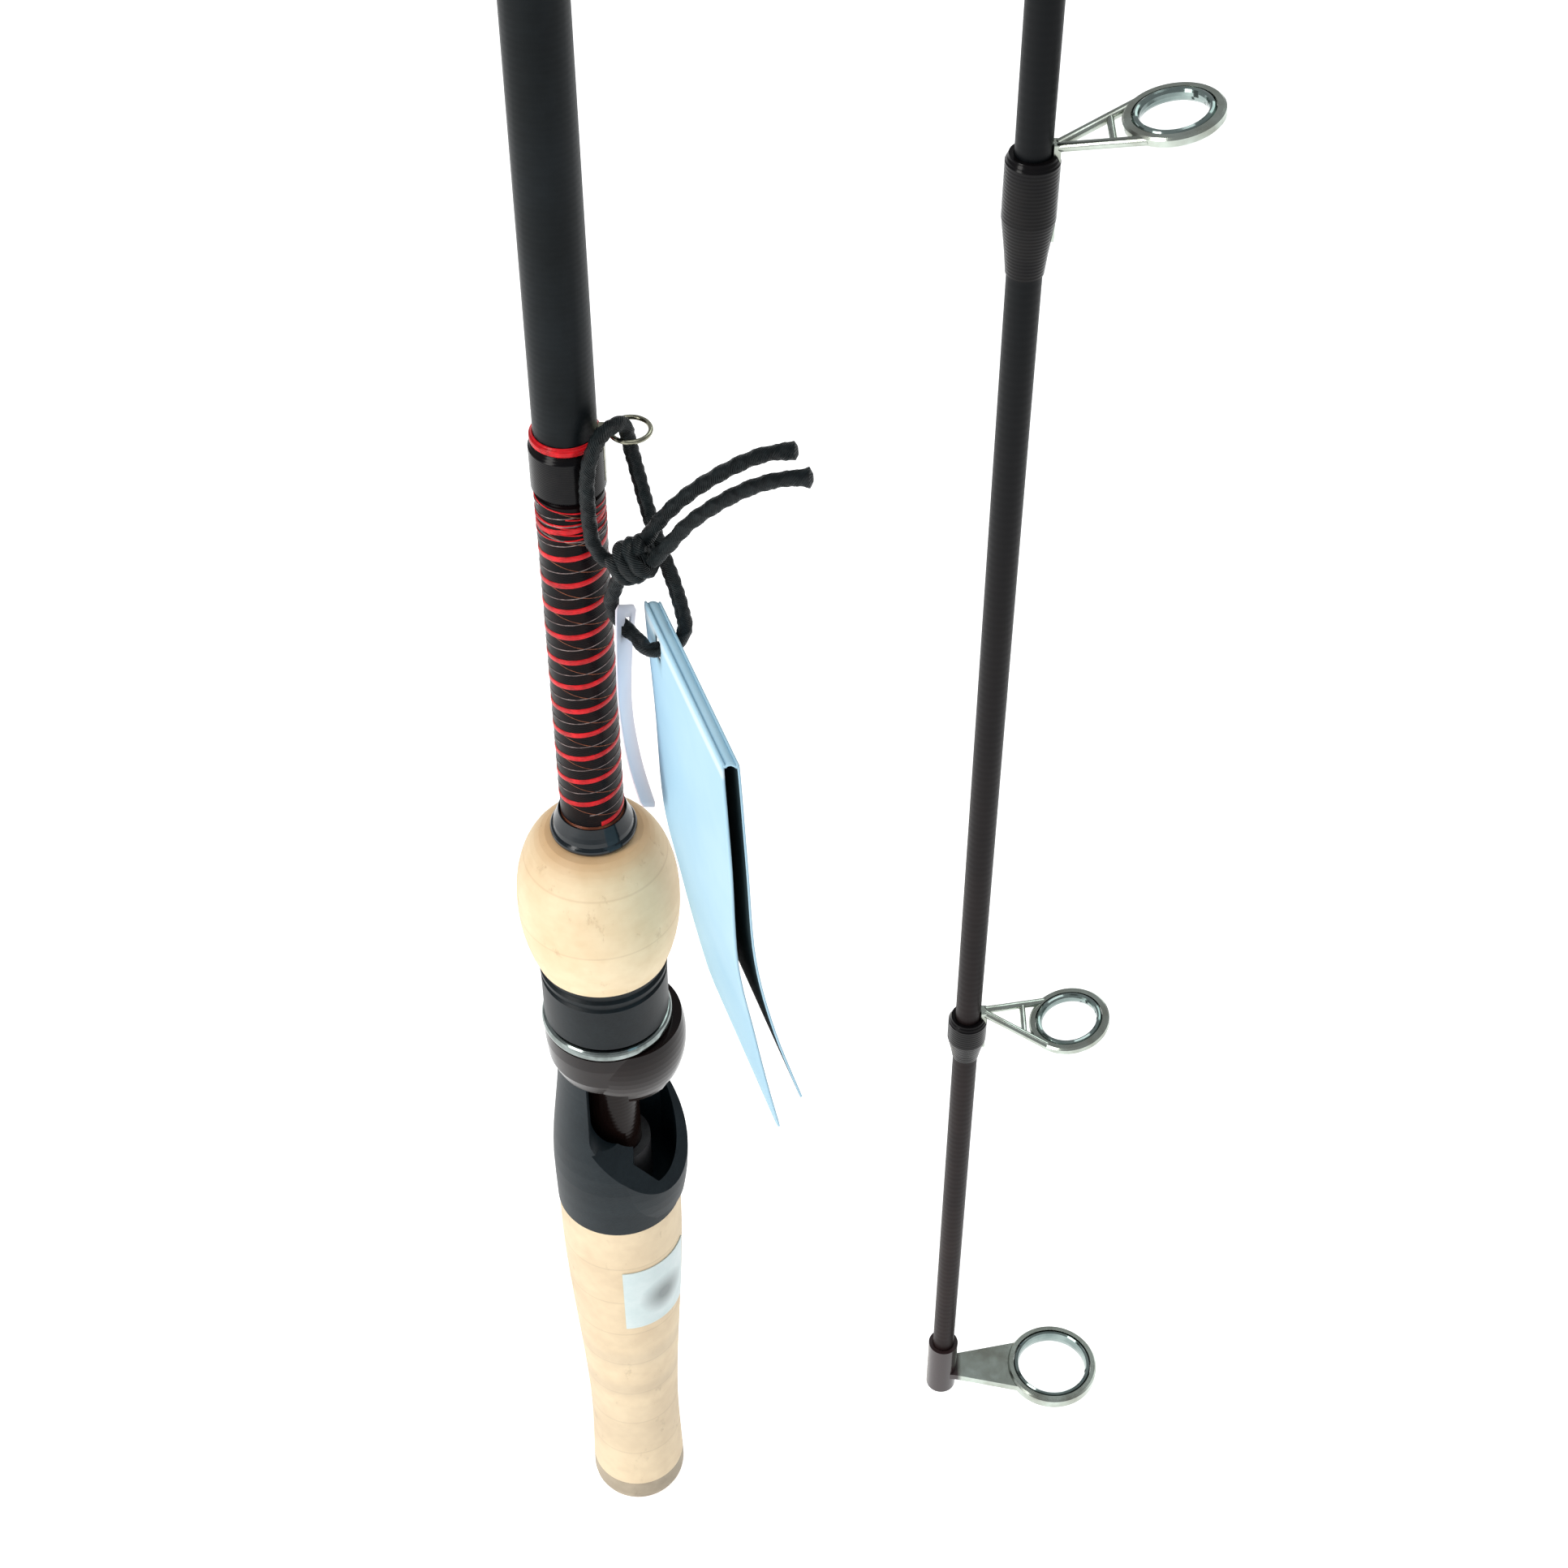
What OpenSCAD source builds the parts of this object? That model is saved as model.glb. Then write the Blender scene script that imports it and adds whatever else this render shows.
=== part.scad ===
// Two-piece spinning rod, taken apart: the butt half stands upright on the origin,
// and the tip half stands upside down beside it, with its tip-top at the bottom.
// The reel side of the butt half faces +X.

/* [Butt half] */
// Length of the butt half, butt end to the top of its spigot
butt_len = 945; // [700:5:1100]
// Diameter of the blank at its butt end
blank_butt_d = 10.3; // [9:0.1:11.5]
// Diameter of the blank where its spigot begins
blank_top_d = 8.2; // [7.4:0.1:8.8]
// Wall of the butt blank
blank_wall = 1.2; // [0.8:0.1:1.6]
// Diameter of the spigot that enters the tip half
spigot_d = 6.6; // [6:0.1:6.8]
// Length of the spigot
spigot_len = 45; // [35:1:60]

/* [Rear grip] */
// Height of the rear grip, floor to reel seat
rear_len = 110; // [90:1:180]
// Height of the dark cork ring at the butt
butt_cork_h = 9; // [8:1:18]
// Diameter of the flared butt end
butt_d = 20.8; // [19:0.2:26]
// Diameter of the grip at its slimmest
waist_d = 19.6; // [18:0.2:24]
// Height of the slimmest place
waist_z = 29; // [22:1:40]
// Diameter of the grip at the reel seat
rear_top_d = 25; // [24:0.2:27]
// Cork rings in the rear grip above the butt ring
rear_rings = 8; // [5:1:12]

/* [Reel seat] */
// Length of the moulded body below the barrel
seat_len = 43.3; // [40:0.1:60]
// Diameter of the body at its lower edge
seat_d = 25.4; // [24.6:0.2:28]
// Diameter of the body under the moving hood
seat_neck_d = 20.4; // [20.2:0.1:21]
// Diameter of the threaded barrel
barrel_d = 18.8; // [18:0.1:19.4]
// Height of the barrel above the body
barrel_len = 54; // [52:1:80]
// Distance from the axis to the flat on the barrel, less 1
bed_x = 7.6; // [7:0.1:8]
// Depth of the pocket below the rim of the fixed hood
pocket_depth = 19; // [12:1:22]
// Bore of the seat around its arbors
seat_bore_d = 14; // [13:0.2:14.4]

/* [Hood and nut] */
// Travel of the moving hood
hood_travel = 28; // [10:1:30]
// Lead of the barrel thread
thread_lead = 3.5; // [3:0.5:4]
// Depth of the barrel thread
thread_depth = 0.7; // [0.4:0.1:0.9]
// Diameter of the moving hood
hood_d = 24.4; // [24:0.1:26]
// Height of the moving hood
hood_h = 11.3; // [10.5:0.1:18]
// How far the hood's dome stands off the axis
dome_out = 2.8; // [1.8:0.1:3.2]
// Diameter of the nut collar
collar_d = 23.8; // [23.2:0.2:25]
// Visible height of the nut collar
collar_h = 16.4; // [12:0.2:20]

/* [Fore grip] */
// Height of the cork fore grip
fore_len = 32; // [30:1:45]
// Largest diameter of the fore grip
fore_d = 29.8; // [27:0.2:34]
// Diameter of the fore grip at the collar
fore_foot_d = 25; // [24:0.2:27]
// Diameter of the winding check's rim
check_d = 15.6; // [14.6:0.2:18]
// Height of the winding check
check_h = 5.4; // [4:0.2:8]

/* [Wraps and keeper] */
// Length of the decorative wrap above the winding check
deco_len = 74; // [60:1:110]
// Thickness of the decorative wrap
deco_t = 0.45; // [0.3:0.05:0.6]
// Length of the black wrap over the keeper's foot
keeper_wrap_len = 9.5; // [8:0.5:14]
// Thickness of the keeper wrap
keeper_wrap_t = 0.9; // [0.8:0.05:1.1]
// Inside diameter of the keeper ring
keeper_ring_d = 5.6; // [5.2:0.1:6.2]
// Wire of the keeper
keeper_wire_d = 0.8; // [0.7:0.1:0.9]
// Angle from the reel side to the keeper
keeper_turn = 0; // [-10:1:20]

/* [Tip half] */
// Length of the tip half
tip_len = 929; // [700:1:1100]
// Diameter of the blank at the tip
tip_d = 2.7; // [2.2:0.1:3]
// Diameter of the tip blank where it enters the ferrule sleeve
tip_root_d = 7.4; // [5:0.1:7.8]
// Length of the ferrule sleeve
sleeve_len = 62; // [55:1:90]
// Outside diameter of the ferrule sleeve
sleeve_d = 9.2; // [8.6:0.1:9.8]
// Place of the tip half's axis along X
tip_x = 54.8; // [45:0.1:160]
// Place of the tip half's axis along Y
tip_y = -135; // [-160:1:-100]
// Height of the tip above the butt end
tip_z = 249.5; // [150:0.5:400]
// Angle that the tip half's rings face
tip_turn = 0; // [-20:1:45]

/* [Guides] */
// Outside diameter of the stripper guide's ring
stripper_od = 28; // [20:0.5:32]
// Outside diameter of the butt half's second ring
second_od = 18; // [14:0.5:22]
// Outside diameter of the ring nearest the tip
small_od = 8.7; // [8.4:0.1:11]
// Outside diameter of the tip-top's ring
tip_top_od = 11.7; // [10:0.1:13]
// Thickness of a guide frame's rim
rim_t = 0.75; // [0.6:0.05:1]
// Thickness of the hard ring inside the rim
insert_t = 0.75; // [0.6:0.05:0.9]
// Length of a guide's foot under its wrap
foot_len = 9; // [8:0.5:12]
// Lean of the rings from square to the blank
ring_lean = 12; // [0:1:20]

/* [Hidden] */

$fn = 64;

// Clearances
glue = 0.05;            // between pieces that are glued
run = 0.05;             // between the nut and the barrel, radial
free = 0.3;             // between pieces that move past each other

// Colours
cork = [0.88, 0.76, 0.56];
dark_cork = [0.62, 0.56, 0.45];
blank_black = [0.09, 0.11, 0.13];
seat_slate = [0.14, 0.19, 0.23];
gloss_brown = [0.16, 0.11, 0.11];
silver = [0.78, 0.8, 0.8];
thread_black = [0.05, 0.05, 0.06];
thread_red = [0.78, 0.1, 0.14];
copper = [0.72, 0.42, 0.26];
cord_black = [0.07, 0.1, 0.11];

// Heights up the butt half
seat_z = rear_len;                          // lower edge of the reel seat
barrel_z = seat_z + seat_len;               // shoulder where the barrel starts
barrel_top = barrel_z + barrel_len;
hood_z = barrel_z + 0.2;                    // underside of the moving hood
trim_z = hood_z + hood_h;                   // trim ring on the hood
trim_h = 2.6;
collar_z = trim_z + trim_h + free;          // visible part of the nut collar
fore_z = collar_z + collar_h;               // lower face of the fore grip
fore_top = fore_z + fore_len;
check_z = fore_top;
deco_z = check_z + 3.4;                     // lower end of the decorative wrap
keeper_wrap_z = deco_z + deco_len;
keeper_wrap_top = keeper_wrap_z + keeper_wrap_len;
keeper_z = keeper_wrap_top + 1.6;           // height of the keeper ring
spigot_z = butt_len - spigot_len;
blank_z = 3;                                // butt end of the blank, inside the butt cork

bed_top = seat_z + 24.6;                      // where the rim's slope meets the bed
rim_slope = 55;
rim_turn = -38;                             // the rim is cut lower towards the front

// Radius of the butt blank at a height: it tapers faster towards its top
function blank_r(z) =
  blank_butt_d / 2 - (blank_butt_d - blank_top_d) / 2 * pow(max(z, 0) / spigot_z, 2.4);
// Radius of the tip blank at a distance from the tip
function tip_r(l) =
  tip_d / 2 + (tip_root_d - tip_d) / 2 * pow(max(l, 0) / (tip_len - sleeve_len), 1.4);
// Smooth step from 0 to 1
function ease(t) = let (u = min(max(t, 0), 1)) u * u * (3 - 2 * u);

// Outline of the rear grip: flare, waist, then a swell up to the seat
function rear_r(z) =
  z < waist_z
  ? waist_d / 2 + (butt_d - waist_d) / 2 * (1 - ease(z / waist_z))
  : waist_d / 2 + (rear_top_d - waist_d) / 2 * ease((z - waist_z) / (rear_len - 8 - waist_z));

// Outline of the fore grip: an egg on a flat foot
fore_belly = fore_z + fore_len * 0.47;
function fore_r(z) =
  z < fore_belly
  ? fore_d / 2 - (fore_d - fore_foot_d) / 2 * pow((fore_belly - z) / (fore_belly - fore_z), 2.2)
  : check_d / 2 - 0.6 + (fore_d - check_d + 1.2) / 2
    * sqrt(max(0, 1 - pow((z - fore_belly) / (fore_top - fore_belly), 2)));

// A ring of revolution between two heights, outside by points and with a plain bore
module turned(outer, bore_r) {
  z0 = outer[0][1];
  z1 = outer[len(outer) - 1][1];
  rotate_extrude($fn = 96)
    polygon(concat([[bore_r, z0]], outer, [[bore_r, z1]]));
}

// A straight bar between two points
module bar(p, q, r) {
  d = q - p;
  h = norm(d);
  translate(p)
    rotate([0, acos(d[2] / h), atan2(d[1], d[0])])
      cylinder(h = h, r = r, $fn = 24);
}

// ---------- Butt half ----------

blank_steps = 14;
module butt_blank() {
  zs = [for (i = [0:blank_steps]) blank_z + (spigot_z - blank_z) * i / blank_steps];
  color(blank_black)
    difference() {
      rotate_extrude()
        polygon(concat(
          [[0, blank_z]],
          [for (z = zs) [blank_r(z), z]],
          [[spigot_d / 2, spigot_z], [spigot_d / 2, butt_len], [0, butt_len]]));
      translate([0, 0, blank_z - 1])
        cylinder(h = butt_len, r = spigot_d / 2 - blank_wall);
    }
}

plug_len = 12;
module spigot_plug() {
  color(thread_black)
    translate([0, 0, butt_len - plug_len])
      union() {
        cylinder(h = plug_len + 0.02, r = spigot_d / 2 - blank_wall - glue);
        translate([0, 0, plug_len + 0.02])
          cylinder(h = 1, r1 = spigot_d / 2, r2 = spigot_d / 2 - 0.8);
      }
}

butt_round = 4.5;
module butt_cork() {
  end_r = rear_r(butt_round);
  corner = [for (a = [0:15:90])
    [end_r - butt_round + butt_round * sin(a), butt_round - butt_round * cos(a)]];
  color(dark_cork)
    difference() {
      rotate_extrude($fn = 96)
        polygon(concat(
          [[0, 0]],
          corner,
          [for (z = [butt_round + 3:3:butt_cork_h - 2]) [rear_r(z), z]],
          [[rear_r(butt_cork_h), butt_cork_h], [0, butt_cork_h]]));
      translate([0, 0, blank_z - 0.02])
        cylinder(h = butt_cork_h, r = blank_r(0) + glue);
    }
}

module rear_grip() {
  ring_h = (rear_len - butt_cork_h) / rear_rings;
  color(cork)
    for (i = [0:rear_rings - 1]) {
      z0 = butt_cork_h + i * ring_h;
      turned([for (k = [0:3]) [rear_r(z0 + ring_h * k / 3), z0 + ring_h * k / 3]],
        blank_r(0) + glue);
    }
}

arbor_h = 14;
module seat_arbors() {
  color(thread_black)
    for (z = [seat_z + 3, barrel_z + 1, barrel_top - arbor_h - 4])
      turned([[seat_bore_d / 2 - glue, z], [seat_bore_d / 2 - glue, z + arbor_h]],
        blank_r(seat_z) + glue);
}

// Body with the fixed hood, the flat bed and the threaded barrel in one moulding
hood_body_out = 1.9;
open_x = 3.8;                               // the body is cut away from here outwards
module reel_seat() {
  turns = floor((barrel_len - 8) / thread_lead);
  thread = [for (i = [0:turns - 1], k = [0:3])
    let (z = barrel_z + 5 + i * thread_lead)
    [barrel_d / 2 - (k == 1 || k == 2 ? thread_depth : 0),
      z + [0, 0.25, 0.45, 0.7][k] * thread_lead]];
  color(seat_slate)
    difference() {
      union() {
        turned(concat(
          [for (t = [0:0.1:1])
            [seat_d / 2 + 0.2 * sin(180 * t) - (seat_d - seat_neck_d) / 2 * ease((t - 0.25) / 0.8),
              seat_z + seat_len * t]],
          [[barrel_d / 2, barrel_z + 0.01]],
          thread,
          [[barrel_d / 2, barrel_top - 1], [barrel_d / 2 - 1, barrel_top]]),
          seat_bore_d / 2);
        translate([hood_body_out, 0, seat_z])
          rotate_extrude($fn = 96)
            polygon(concat(
              [[8, 2]],
              [for (t = [0:0.1:1])
                [seat_d / 2 - 0.2 - 1.4 * pow(abs(t - 0.45) / 0.55, 2.2), 2 + 27 * t]],
              [[8, 29]]));
      }
      // hollow
      translate([0, 0, seat_z - 1])
        cylinder(h = seat_len + barrel_len + 2, r = seat_bore_d / 2);
      // open side, where the reel foot lies along the bare blank
      translate([open_x, -20, bed_top])
        cube([30, 40, barrel_z - bed_top + 0.02]);
      // flat that runs on up the barrel under the hood
      translate([bed_x + 1, -20, barrel_z])
        cube([20, 40, barrel_len + 1]);
      // slope of the fixed hood's rim
      translate([0, 0, bed_top])
        rotate([0, 0, rim_turn])
          translate([open_x, -20, 0])
            rotate([0, rim_slope, 0])
              cube([30, 40, 30]);
      // pocket for the lower end of the reel foot
      intersection() {
        translate([0, 0, bed_top - pocket_depth - 1])
          cylinder(h = pocket_depth + 4, r = seat_d / 2 - 0.5);
        translate([open_x, -8.5, bed_top - pocket_depth])
          cube([12, 17, pocket_depth + 3]);
      }
      // keyway at the back
      translate([-barrel_d / 2 - 1, -1.5, barrel_z + 0.02])
        cube([2, 3, barrel_len + 1]);
      seat_windows();
    }
}

// Round-bottomed windows in the body's two sides, down to the bare blank
window_w = 10.6;
window_x = 1;
window_z = seat_z + 23;
module seat_windows() {
  translate([window_x, -20, window_z + window_w / 2])
    rotate([-90, 0, 0])
      cylinder(h = 40, d = window_w);
  translate([window_x - window_w / 2, -20, window_z + window_w / 2])
    cube([window_w, 40, barrel_z - window_z - window_w / 2]);
}

// Moving hood: a collar round the barrel with a dome over the reel foot
dome_drop = 3;                              // how far the dome hangs below the collar
lip_r = seat_neck_d / 2 + 0.8;
module reel_hood() {
  top = trim_z;
  color(gloss_brown)
    difference() {
      union() {
        turned([[hood_d / 2 - 1.4, hood_z], [hood_d / 2 - 0.4, hood_z + 3],
          [hood_d / 2, hood_z + 8], [hood_d / 2, top]], barrel_d / 2);
        translate([dome_out, 0, hood_z - dome_drop])
          rotate_extrude($fn = 96)
            polygon(concat(
              [[6, 0]],
              [for (t = [0:0.1:1])
                [hood_d / 2 - 1.9 * pow(abs(t - 0.62) / 0.62, 2), (hood_h + dome_drop) * t]],
              [[6, hood_h + dome_drop]]));
      }
      // running bore, wider below the shoulder of the seat
      translate([0, 0, hood_z - dome_drop - 1])
        cylinder(h = hood_h + dome_drop + 2, r = barrel_d / 2 + free);
      translate([0, 0, hood_z - dome_drop - 1])
        cylinder(h = dome_drop + 1.01, r = lip_r);
      // the dome stops short of the back
      translate([-20, -20, hood_z - dome_drop - 1])
        cube([24, 40, dome_drop + 1]);
      // pocket for the upper end of the reel foot
      translate([dome_out, 0, hood_z - dome_drop - 1])
        intersection() {
          cylinder(h = dome_drop + 9, r = hood_d / 2 - 1.3);
          translate([3, -7, 0])
            cube([20, 14, dome_drop + 9]);
        }
      // counterbore for the nut's flange
      translate([0, 0, top - 2])
        cylinder(h = 3, r = collar_d / 2 - 0.7);
    }
  // key that stops the hood turning
  color(gloss_brown)
    translate([-barrel_d / 2 - free - 0.3, -1.2, hood_z])
      cube([1, 2.4, hood_h - 2.1]);
}

trim_t = 0.3;                               // how far the trim stands proud of the hood
module hood_trim_ring() {
  r_out = hood_d / 2 + trim_t;
  r_lip = collar_d / 2 - 1.3;
  r_in = collar_d / 2 - 0.7;
  color(silver)
    rotate_extrude($fn = 96)
      polygon(concat(
        [[r_in, trim_z]],
        [for (a = [-90:22.5:90]) [r_out - 0.9 + 0.9 * cos(a), trim_z + trim_h / 2 + trim_h / 2 * sin(a)]],
        [[r_lip, trim_z + trim_h], [r_lip, trim_z + 1.7], [r_in, trim_z + 1.7]]));
}

// Threaded collar that carries the fore grip
skirt_len = 16;
skirt_d = barrel_d + 2.8;
module nut_collar() {
  flange_r = collar_d / 2 - 1;
  neck_r = collar_d / 2 - 1.7;
  color(blank_black)
    difference() {
      rotate_extrude($fn = 96)
        polygon([
          [8, trim_z - 1.6], [flange_r, trim_z - 1.6], [flange_r, trim_z + 1.3],
          [neck_r, trim_z + 1.3], [neck_r, collar_z],
          [collar_d / 2 - 0.4, collar_z], [collar_d / 2, collar_z + 0.5],
          [collar_d / 2, fore_z - 5.4], [collar_d / 2 - 0.45, fore_z - 4.9],
          [collar_d / 2 - 0.45, fore_z - 4.3], [collar_d / 2 + 0.1, fore_z - 3.8],
          [collar_d / 2 + 0.1, fore_z - 3], [collar_d / 2 - 0.4, fore_z - 2.4],
          [collar_d / 2 - 0.4, fore_z - 1.8], [collar_d / 2 + 0.15, fore_z - 1.2],
          [collar_d / 2 + 0.15, fore_z],
          [skirt_d / 2, fore_z], [skirt_d / 2, fore_z + skirt_len], [8, fore_z + skirt_len]]);
      translate([0, 0, trim_z - 3])
        cylinder(h = collar_h + skirt_len + 12, r = barrel_d / 2 + run, $fn = 96);
    }
}

fore_rings = 3;
module fore_grip() {
  ring_h = fore_len * 0.41;
  well_top = barrel_top + 0.8;
  color(cork)
    for (i = [0:fore_rings - 1]) {
      z0 = fore_z + i * ring_h;
      z1 = i == fore_rings - 1 ? fore_top : z0 + ring_h;
      difference() {
        turned([for (k = [0:6]) let (z = z0 + (z1 - z0) * (1 - pow(1 - k / 6, 1.5))) [fore_r(z), z]],
          check_d / 2 - 1.6);
        translate([0, 0, fore_z - 1])
          cylinder(h = skirt_len + 1 + glue, r = skirt_d / 2 + glue, $fn = 96);
        translate([0, 0, fore_z - 1])
          cylinder(h = well_top - fore_z + 1, r = barrel_d / 2 + free, $fn = 96);
      }
    }
}

check_clear = 0.35;                         // between the check and the wrap it slides over
module winding_check() {
  bore_r = blank_r(check_z) + deco_t + check_clear;
  color(blank_black)
    turned(concat(
      [[check_d / 2 - 2, check_z + 0.01]],
      [for (a = [-90:22.5:67.5]) [check_d / 2 - 0.9 + 0.9 * cos(a), check_z + 1 + sin(a)]],
      [for (t = [0.25, 0.5, 0.75, 1]) [check_d / 2 - 0.3 - (check_d / 2 - 0.5 - bore_r) * pow(t, 0.85),
        check_z + 1.9 + (check_h - 1.9) * t]]),
      bore_r);
}

module sleeve_on_blank(z0, z1, t, end) {
  r = blank_r(z0) + glue;
  turned([[r + 0.05, z0], [r + t, z0 + end], [r + t, z1 - end], [r + 0.05, z1]], r);
}

copper_h = 2;
module copper_band() {
  color(copper)
    sleeve_on_blank(deco_z, deco_z + copper_h, deco_t + 0.05, 0.4);
}

module handle_wrap() {
  color(thread_black)
    sleeve_on_blank(deco_z + copper_h + 0.02, keeper_wrap_z, deco_t, 0.3);
}

// The keeper's foot lies on the blank and the wrap goes over it
keeper_foot_t = 0.9;
module keeper_foot(up = 0) {
  translate([blank_r(keeper_wrap_z) + glue - 0.02, -1.2, keeper_wrap_z + 2])
    cube([keeper_foot_t, 2.4, keeper_z - keeper_wrap_z - 2 + up]);
}

module keeper_wrap() {
  color(thread_black)
    difference() {
      sleeve_on_blank(keeper_wrap_z + 0.02, keeper_wrap_top, keeper_wrap_t, 1);
      rotate([0, 0, keeper_turn])
        keeper_foot(2);
    }
}

red_band_h = 1.8;
module red_band() {
  color(thread_red)
    difference() {
      sleeve_on_blank(keeper_wrap_top + 0.02, keeper_wrap_top + red_band_h, 0.6, 0.5);
      rotate([0, 0, keeper_turn])
        keeper_foot(2);
    }
}

// Wire ring of the hook keeper, standing square out of its foot
module hook_keeper() {
  ring_r = (keeper_ring_d + keeper_wire_d) / 2;
  ring_x = blank_r(keeper_wrap_z) + keeper_foot_t + ring_r + 0.9;
  color(silver)
    rotate([0, 0, keeper_turn])
      union() {
        keeper_foot();
        translate([blank_r(keeper_wrap_z) + glue - 0.02, -1, keeper_z - 0.7])
          cube([2, 2, 1.4]);
        translate([ring_x, 0, keeper_z])
          rotate_extrude($fn = 48)
            translate([ring_r, 0])
              circle(d = keeper_wire_d, $fn = 24);
      }
}

// Blank paper label on the front of the rear grip
label_from = -88;
label_span = 76;
label_low = 75;
label_high = 96;
module label() {
  color([0.82, 0.88, 0.9])
    intersection() {
      rotate_extrude($fn = 96)
        polygon(concat(
          [for (k = [0:6]) let (z = label_low + (label_high - label_low) * k / 6)
            [rear_r(z) + 0.04, z]],
          [for (k = [6:-1:0]) let (z = label_low + (label_high - label_low) * k / 6)
            [rear_r(z) + 0.24, z]]));
      rotate([0, 0, label_from])
        linear_extrude(label_high + 5)
          polygon([[0, 0], [40, 0], [40 * cos(label_span), 40 * sin(label_span)]]);
    }
}

// ---------- Guides ----------

// A guide is drawn on a blank of radius br, with its ring at height 0 and its foot
// running down. od is the ring's outside diameter, foot the length of the foot.
function guide_reach(od, br) = br + od * 0.6 + 4.6;
function wire_of(od) = 0.36 + od * 0.014;
function rise_of(od) = od * 0.08;
leg_turn = 128;                             // where the legs meet the ring

module at_ring(od, br, rise) {
  translate([guide_reach(od, br), 0, rise])
    rotate([0, -ring_lean, 0])
      children();
}

module ring_frame(od, br, rise) {
  w = wire_of(od);
  at_ring(od, br, rise)
    rotate_extrude($fn = 64)
      translate([od / 2 - rim_t / 2, 0])
        polygon([[-rim_t / 2, -w], [rim_t / 2 - 0.2, -w], [rim_t / 2, -w + 0.2],
          [rim_t / 2, w - 0.2], [rim_t / 2 - 0.2, w], [-rim_t / 2, w]]);
}

foot_h = 1.25;                              // height of a foot, in wire radii
module guide_foot(od, br, foot) {
  translate([br + glue - 0.03, -wire_of(od) * 1.4, -foot])
    cube([wire_of(od) * foot_h, wire_of(od) * 2.8, foot + 0.8]);
}

// Two legs spread from the foot to the sides of the ring, with a cross bar.
// They stop at the ring's rim.
module guide_legs(od, br, rise, drop) {
  w = wire_of(od);
  ring_r = od / 2 - rim_t / 2;
  x1 = guide_reach(od, br) + ring_r * cos(leg_turn) * cos(ring_lean);
  z1 = rise + ring_r * cos(leg_turn) * sin(ring_lean);
  y1 = ring_r * sin(leg_turn);
  x0 = br + glue + w * 0.8;
  z0 = w - drop;
  m = 0.62;
  difference() {
    union() {
      for (s = [-1, 1])
        bar([x0, s * w * 0.5, z0], [x1, s * y1, z1], w * 0.9);
      bar([x0 + m * (x1 - x0), -m * y1, z0 + m * (z1 - z0)],
        [x0 + m * (x1 - x0), m * y1, z0 + m * (z1 - z0)], w * 0.7);
    }
    ring_bore(od, br, rise);
  }
}

module ring_bore(od, br, rise) {
  at_ring(od, br, rise)
    cylinder(h = 6, r = od / 2 - rim_t + 0.1, center = true);
}

module guide_frame(od, br, rise, foot) {
  color(silver)
    union() {
      guide_foot(od, br, foot);
      guide_legs(od, br, rise, 0);
      ring_frame(od, br, rise);
    }
}

module guide_insert(od, br, rise) {
  r = od / 2 - rim_t - insert_t / 2 - 0.02;
  h = wire_of(od) + 0.15;
  color(blank_black)
    at_ring(od, br, rise)
      rotate_extrude($fn = 64)
        translate([r, 0])
          polygon([for (a = [0:30:330]) [insert_t / 2 * cos(a), h * sin(a)]]);
}

module guide_wrap(od, br, foot) {
  t = wire_of(od) * foot_h + 0.16;
  over = min(3.5, foot * 0.4);
  color(thread_black)
    difference() {
      turned([[br + glue + 0.05, -foot - over], [br + t * 0.4, -foot - over * 0.4],
        [br + t, -foot * 0.75], [br + t, -0.9], [br + t * 0.6, -0.2]], br + glue);
      guide_foot(od, br, foot);
    }
}

// The stripper stands on two feet; the second one runs the other way
two_foot_gap = 9;
module stripper_frame(od, br, foot) {
  rise = rise_of(od);
  edge = od / 2 - rim_t / 2;
  color(silver)
    union() {
      for (s = [0, 1])
        mirror([0, 0, s])
          translate([0, 0, -two_foot_gap])
            guide_foot(od, br, foot);
      guide_legs(od, br, rise, two_foot_gap);
      difference() {
        bar([br + glue + 0.6, 0, two_foot_gap - 0.6],
          [guide_reach(od, br) - edge * cos(ring_lean), 0, rise - edge * sin(ring_lean)], wire_of(od));
        ring_bore(od, br, rise);
      }
      ring_frame(od, br, rise);
    }
}

stripper_z = 590;
second_z = 790;

// On the butt half the feet point up, to the tip
module on_butt(z) {
  translate([0, 0, z])
    mirror([0, 0, 1])
      children();
}

module stripper_guide() {
  on_butt(stripper_z) stripper_frame(stripper_od, blank_r(stripper_z - 25), foot_len + 3);
}
module stripper_ring() {
  on_butt(stripper_z) guide_insert(stripper_od, blank_r(stripper_z - 25), rise_of(stripper_od));
}
module stripper_wrap() {
  on_butt(stripper_z)
    for (s = [0, 1])
      mirror([0, 0, s])
        translate([0, 0, -two_foot_gap])
          guide_wrap(stripper_od, blank_r(stripper_z - 25), foot_len + 3);
}
module second_guide() {
  on_butt(second_z) guide_frame(second_od, blank_r(second_z), rise_of(second_od), foot_len + 2);
}
module second_ring() {
  on_butt(second_z) guide_insert(second_od, blank_r(second_z), rise_of(second_od));
}
module second_wrap() { on_butt(second_z) guide_wrap(second_od, blank_r(second_z), foot_len + 2); }

spigot_wrap_len = 24;
module spigot_wrap() {
  z0 = spigot_z - spigot_wrap_len - 1;
  color(thread_black)
    sleeve_on_blank(z0, spigot_z - 1, 0.4, 1);
}

// ---------- Tip half ----------

module on_tip(l) {
  translate([tip_x, tip_y, tip_z + l])
    rotate([0, 0, tip_turn])
      children();
}

tip_root = tip_len - sleeve_len;            // where the sleeve starts
module tip_blank() {
  color(blank_black)
    on_tip(0)
      rotate_extrude()
        polygon(concat(
          [[0, 0.8]],
          [for (i = [0:blank_steps]) let (l = 0.8 + (tip_root - 0.8) * i / blank_steps)
            [tip_r(l), l]],
          [[0, tip_root]]));
}

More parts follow.
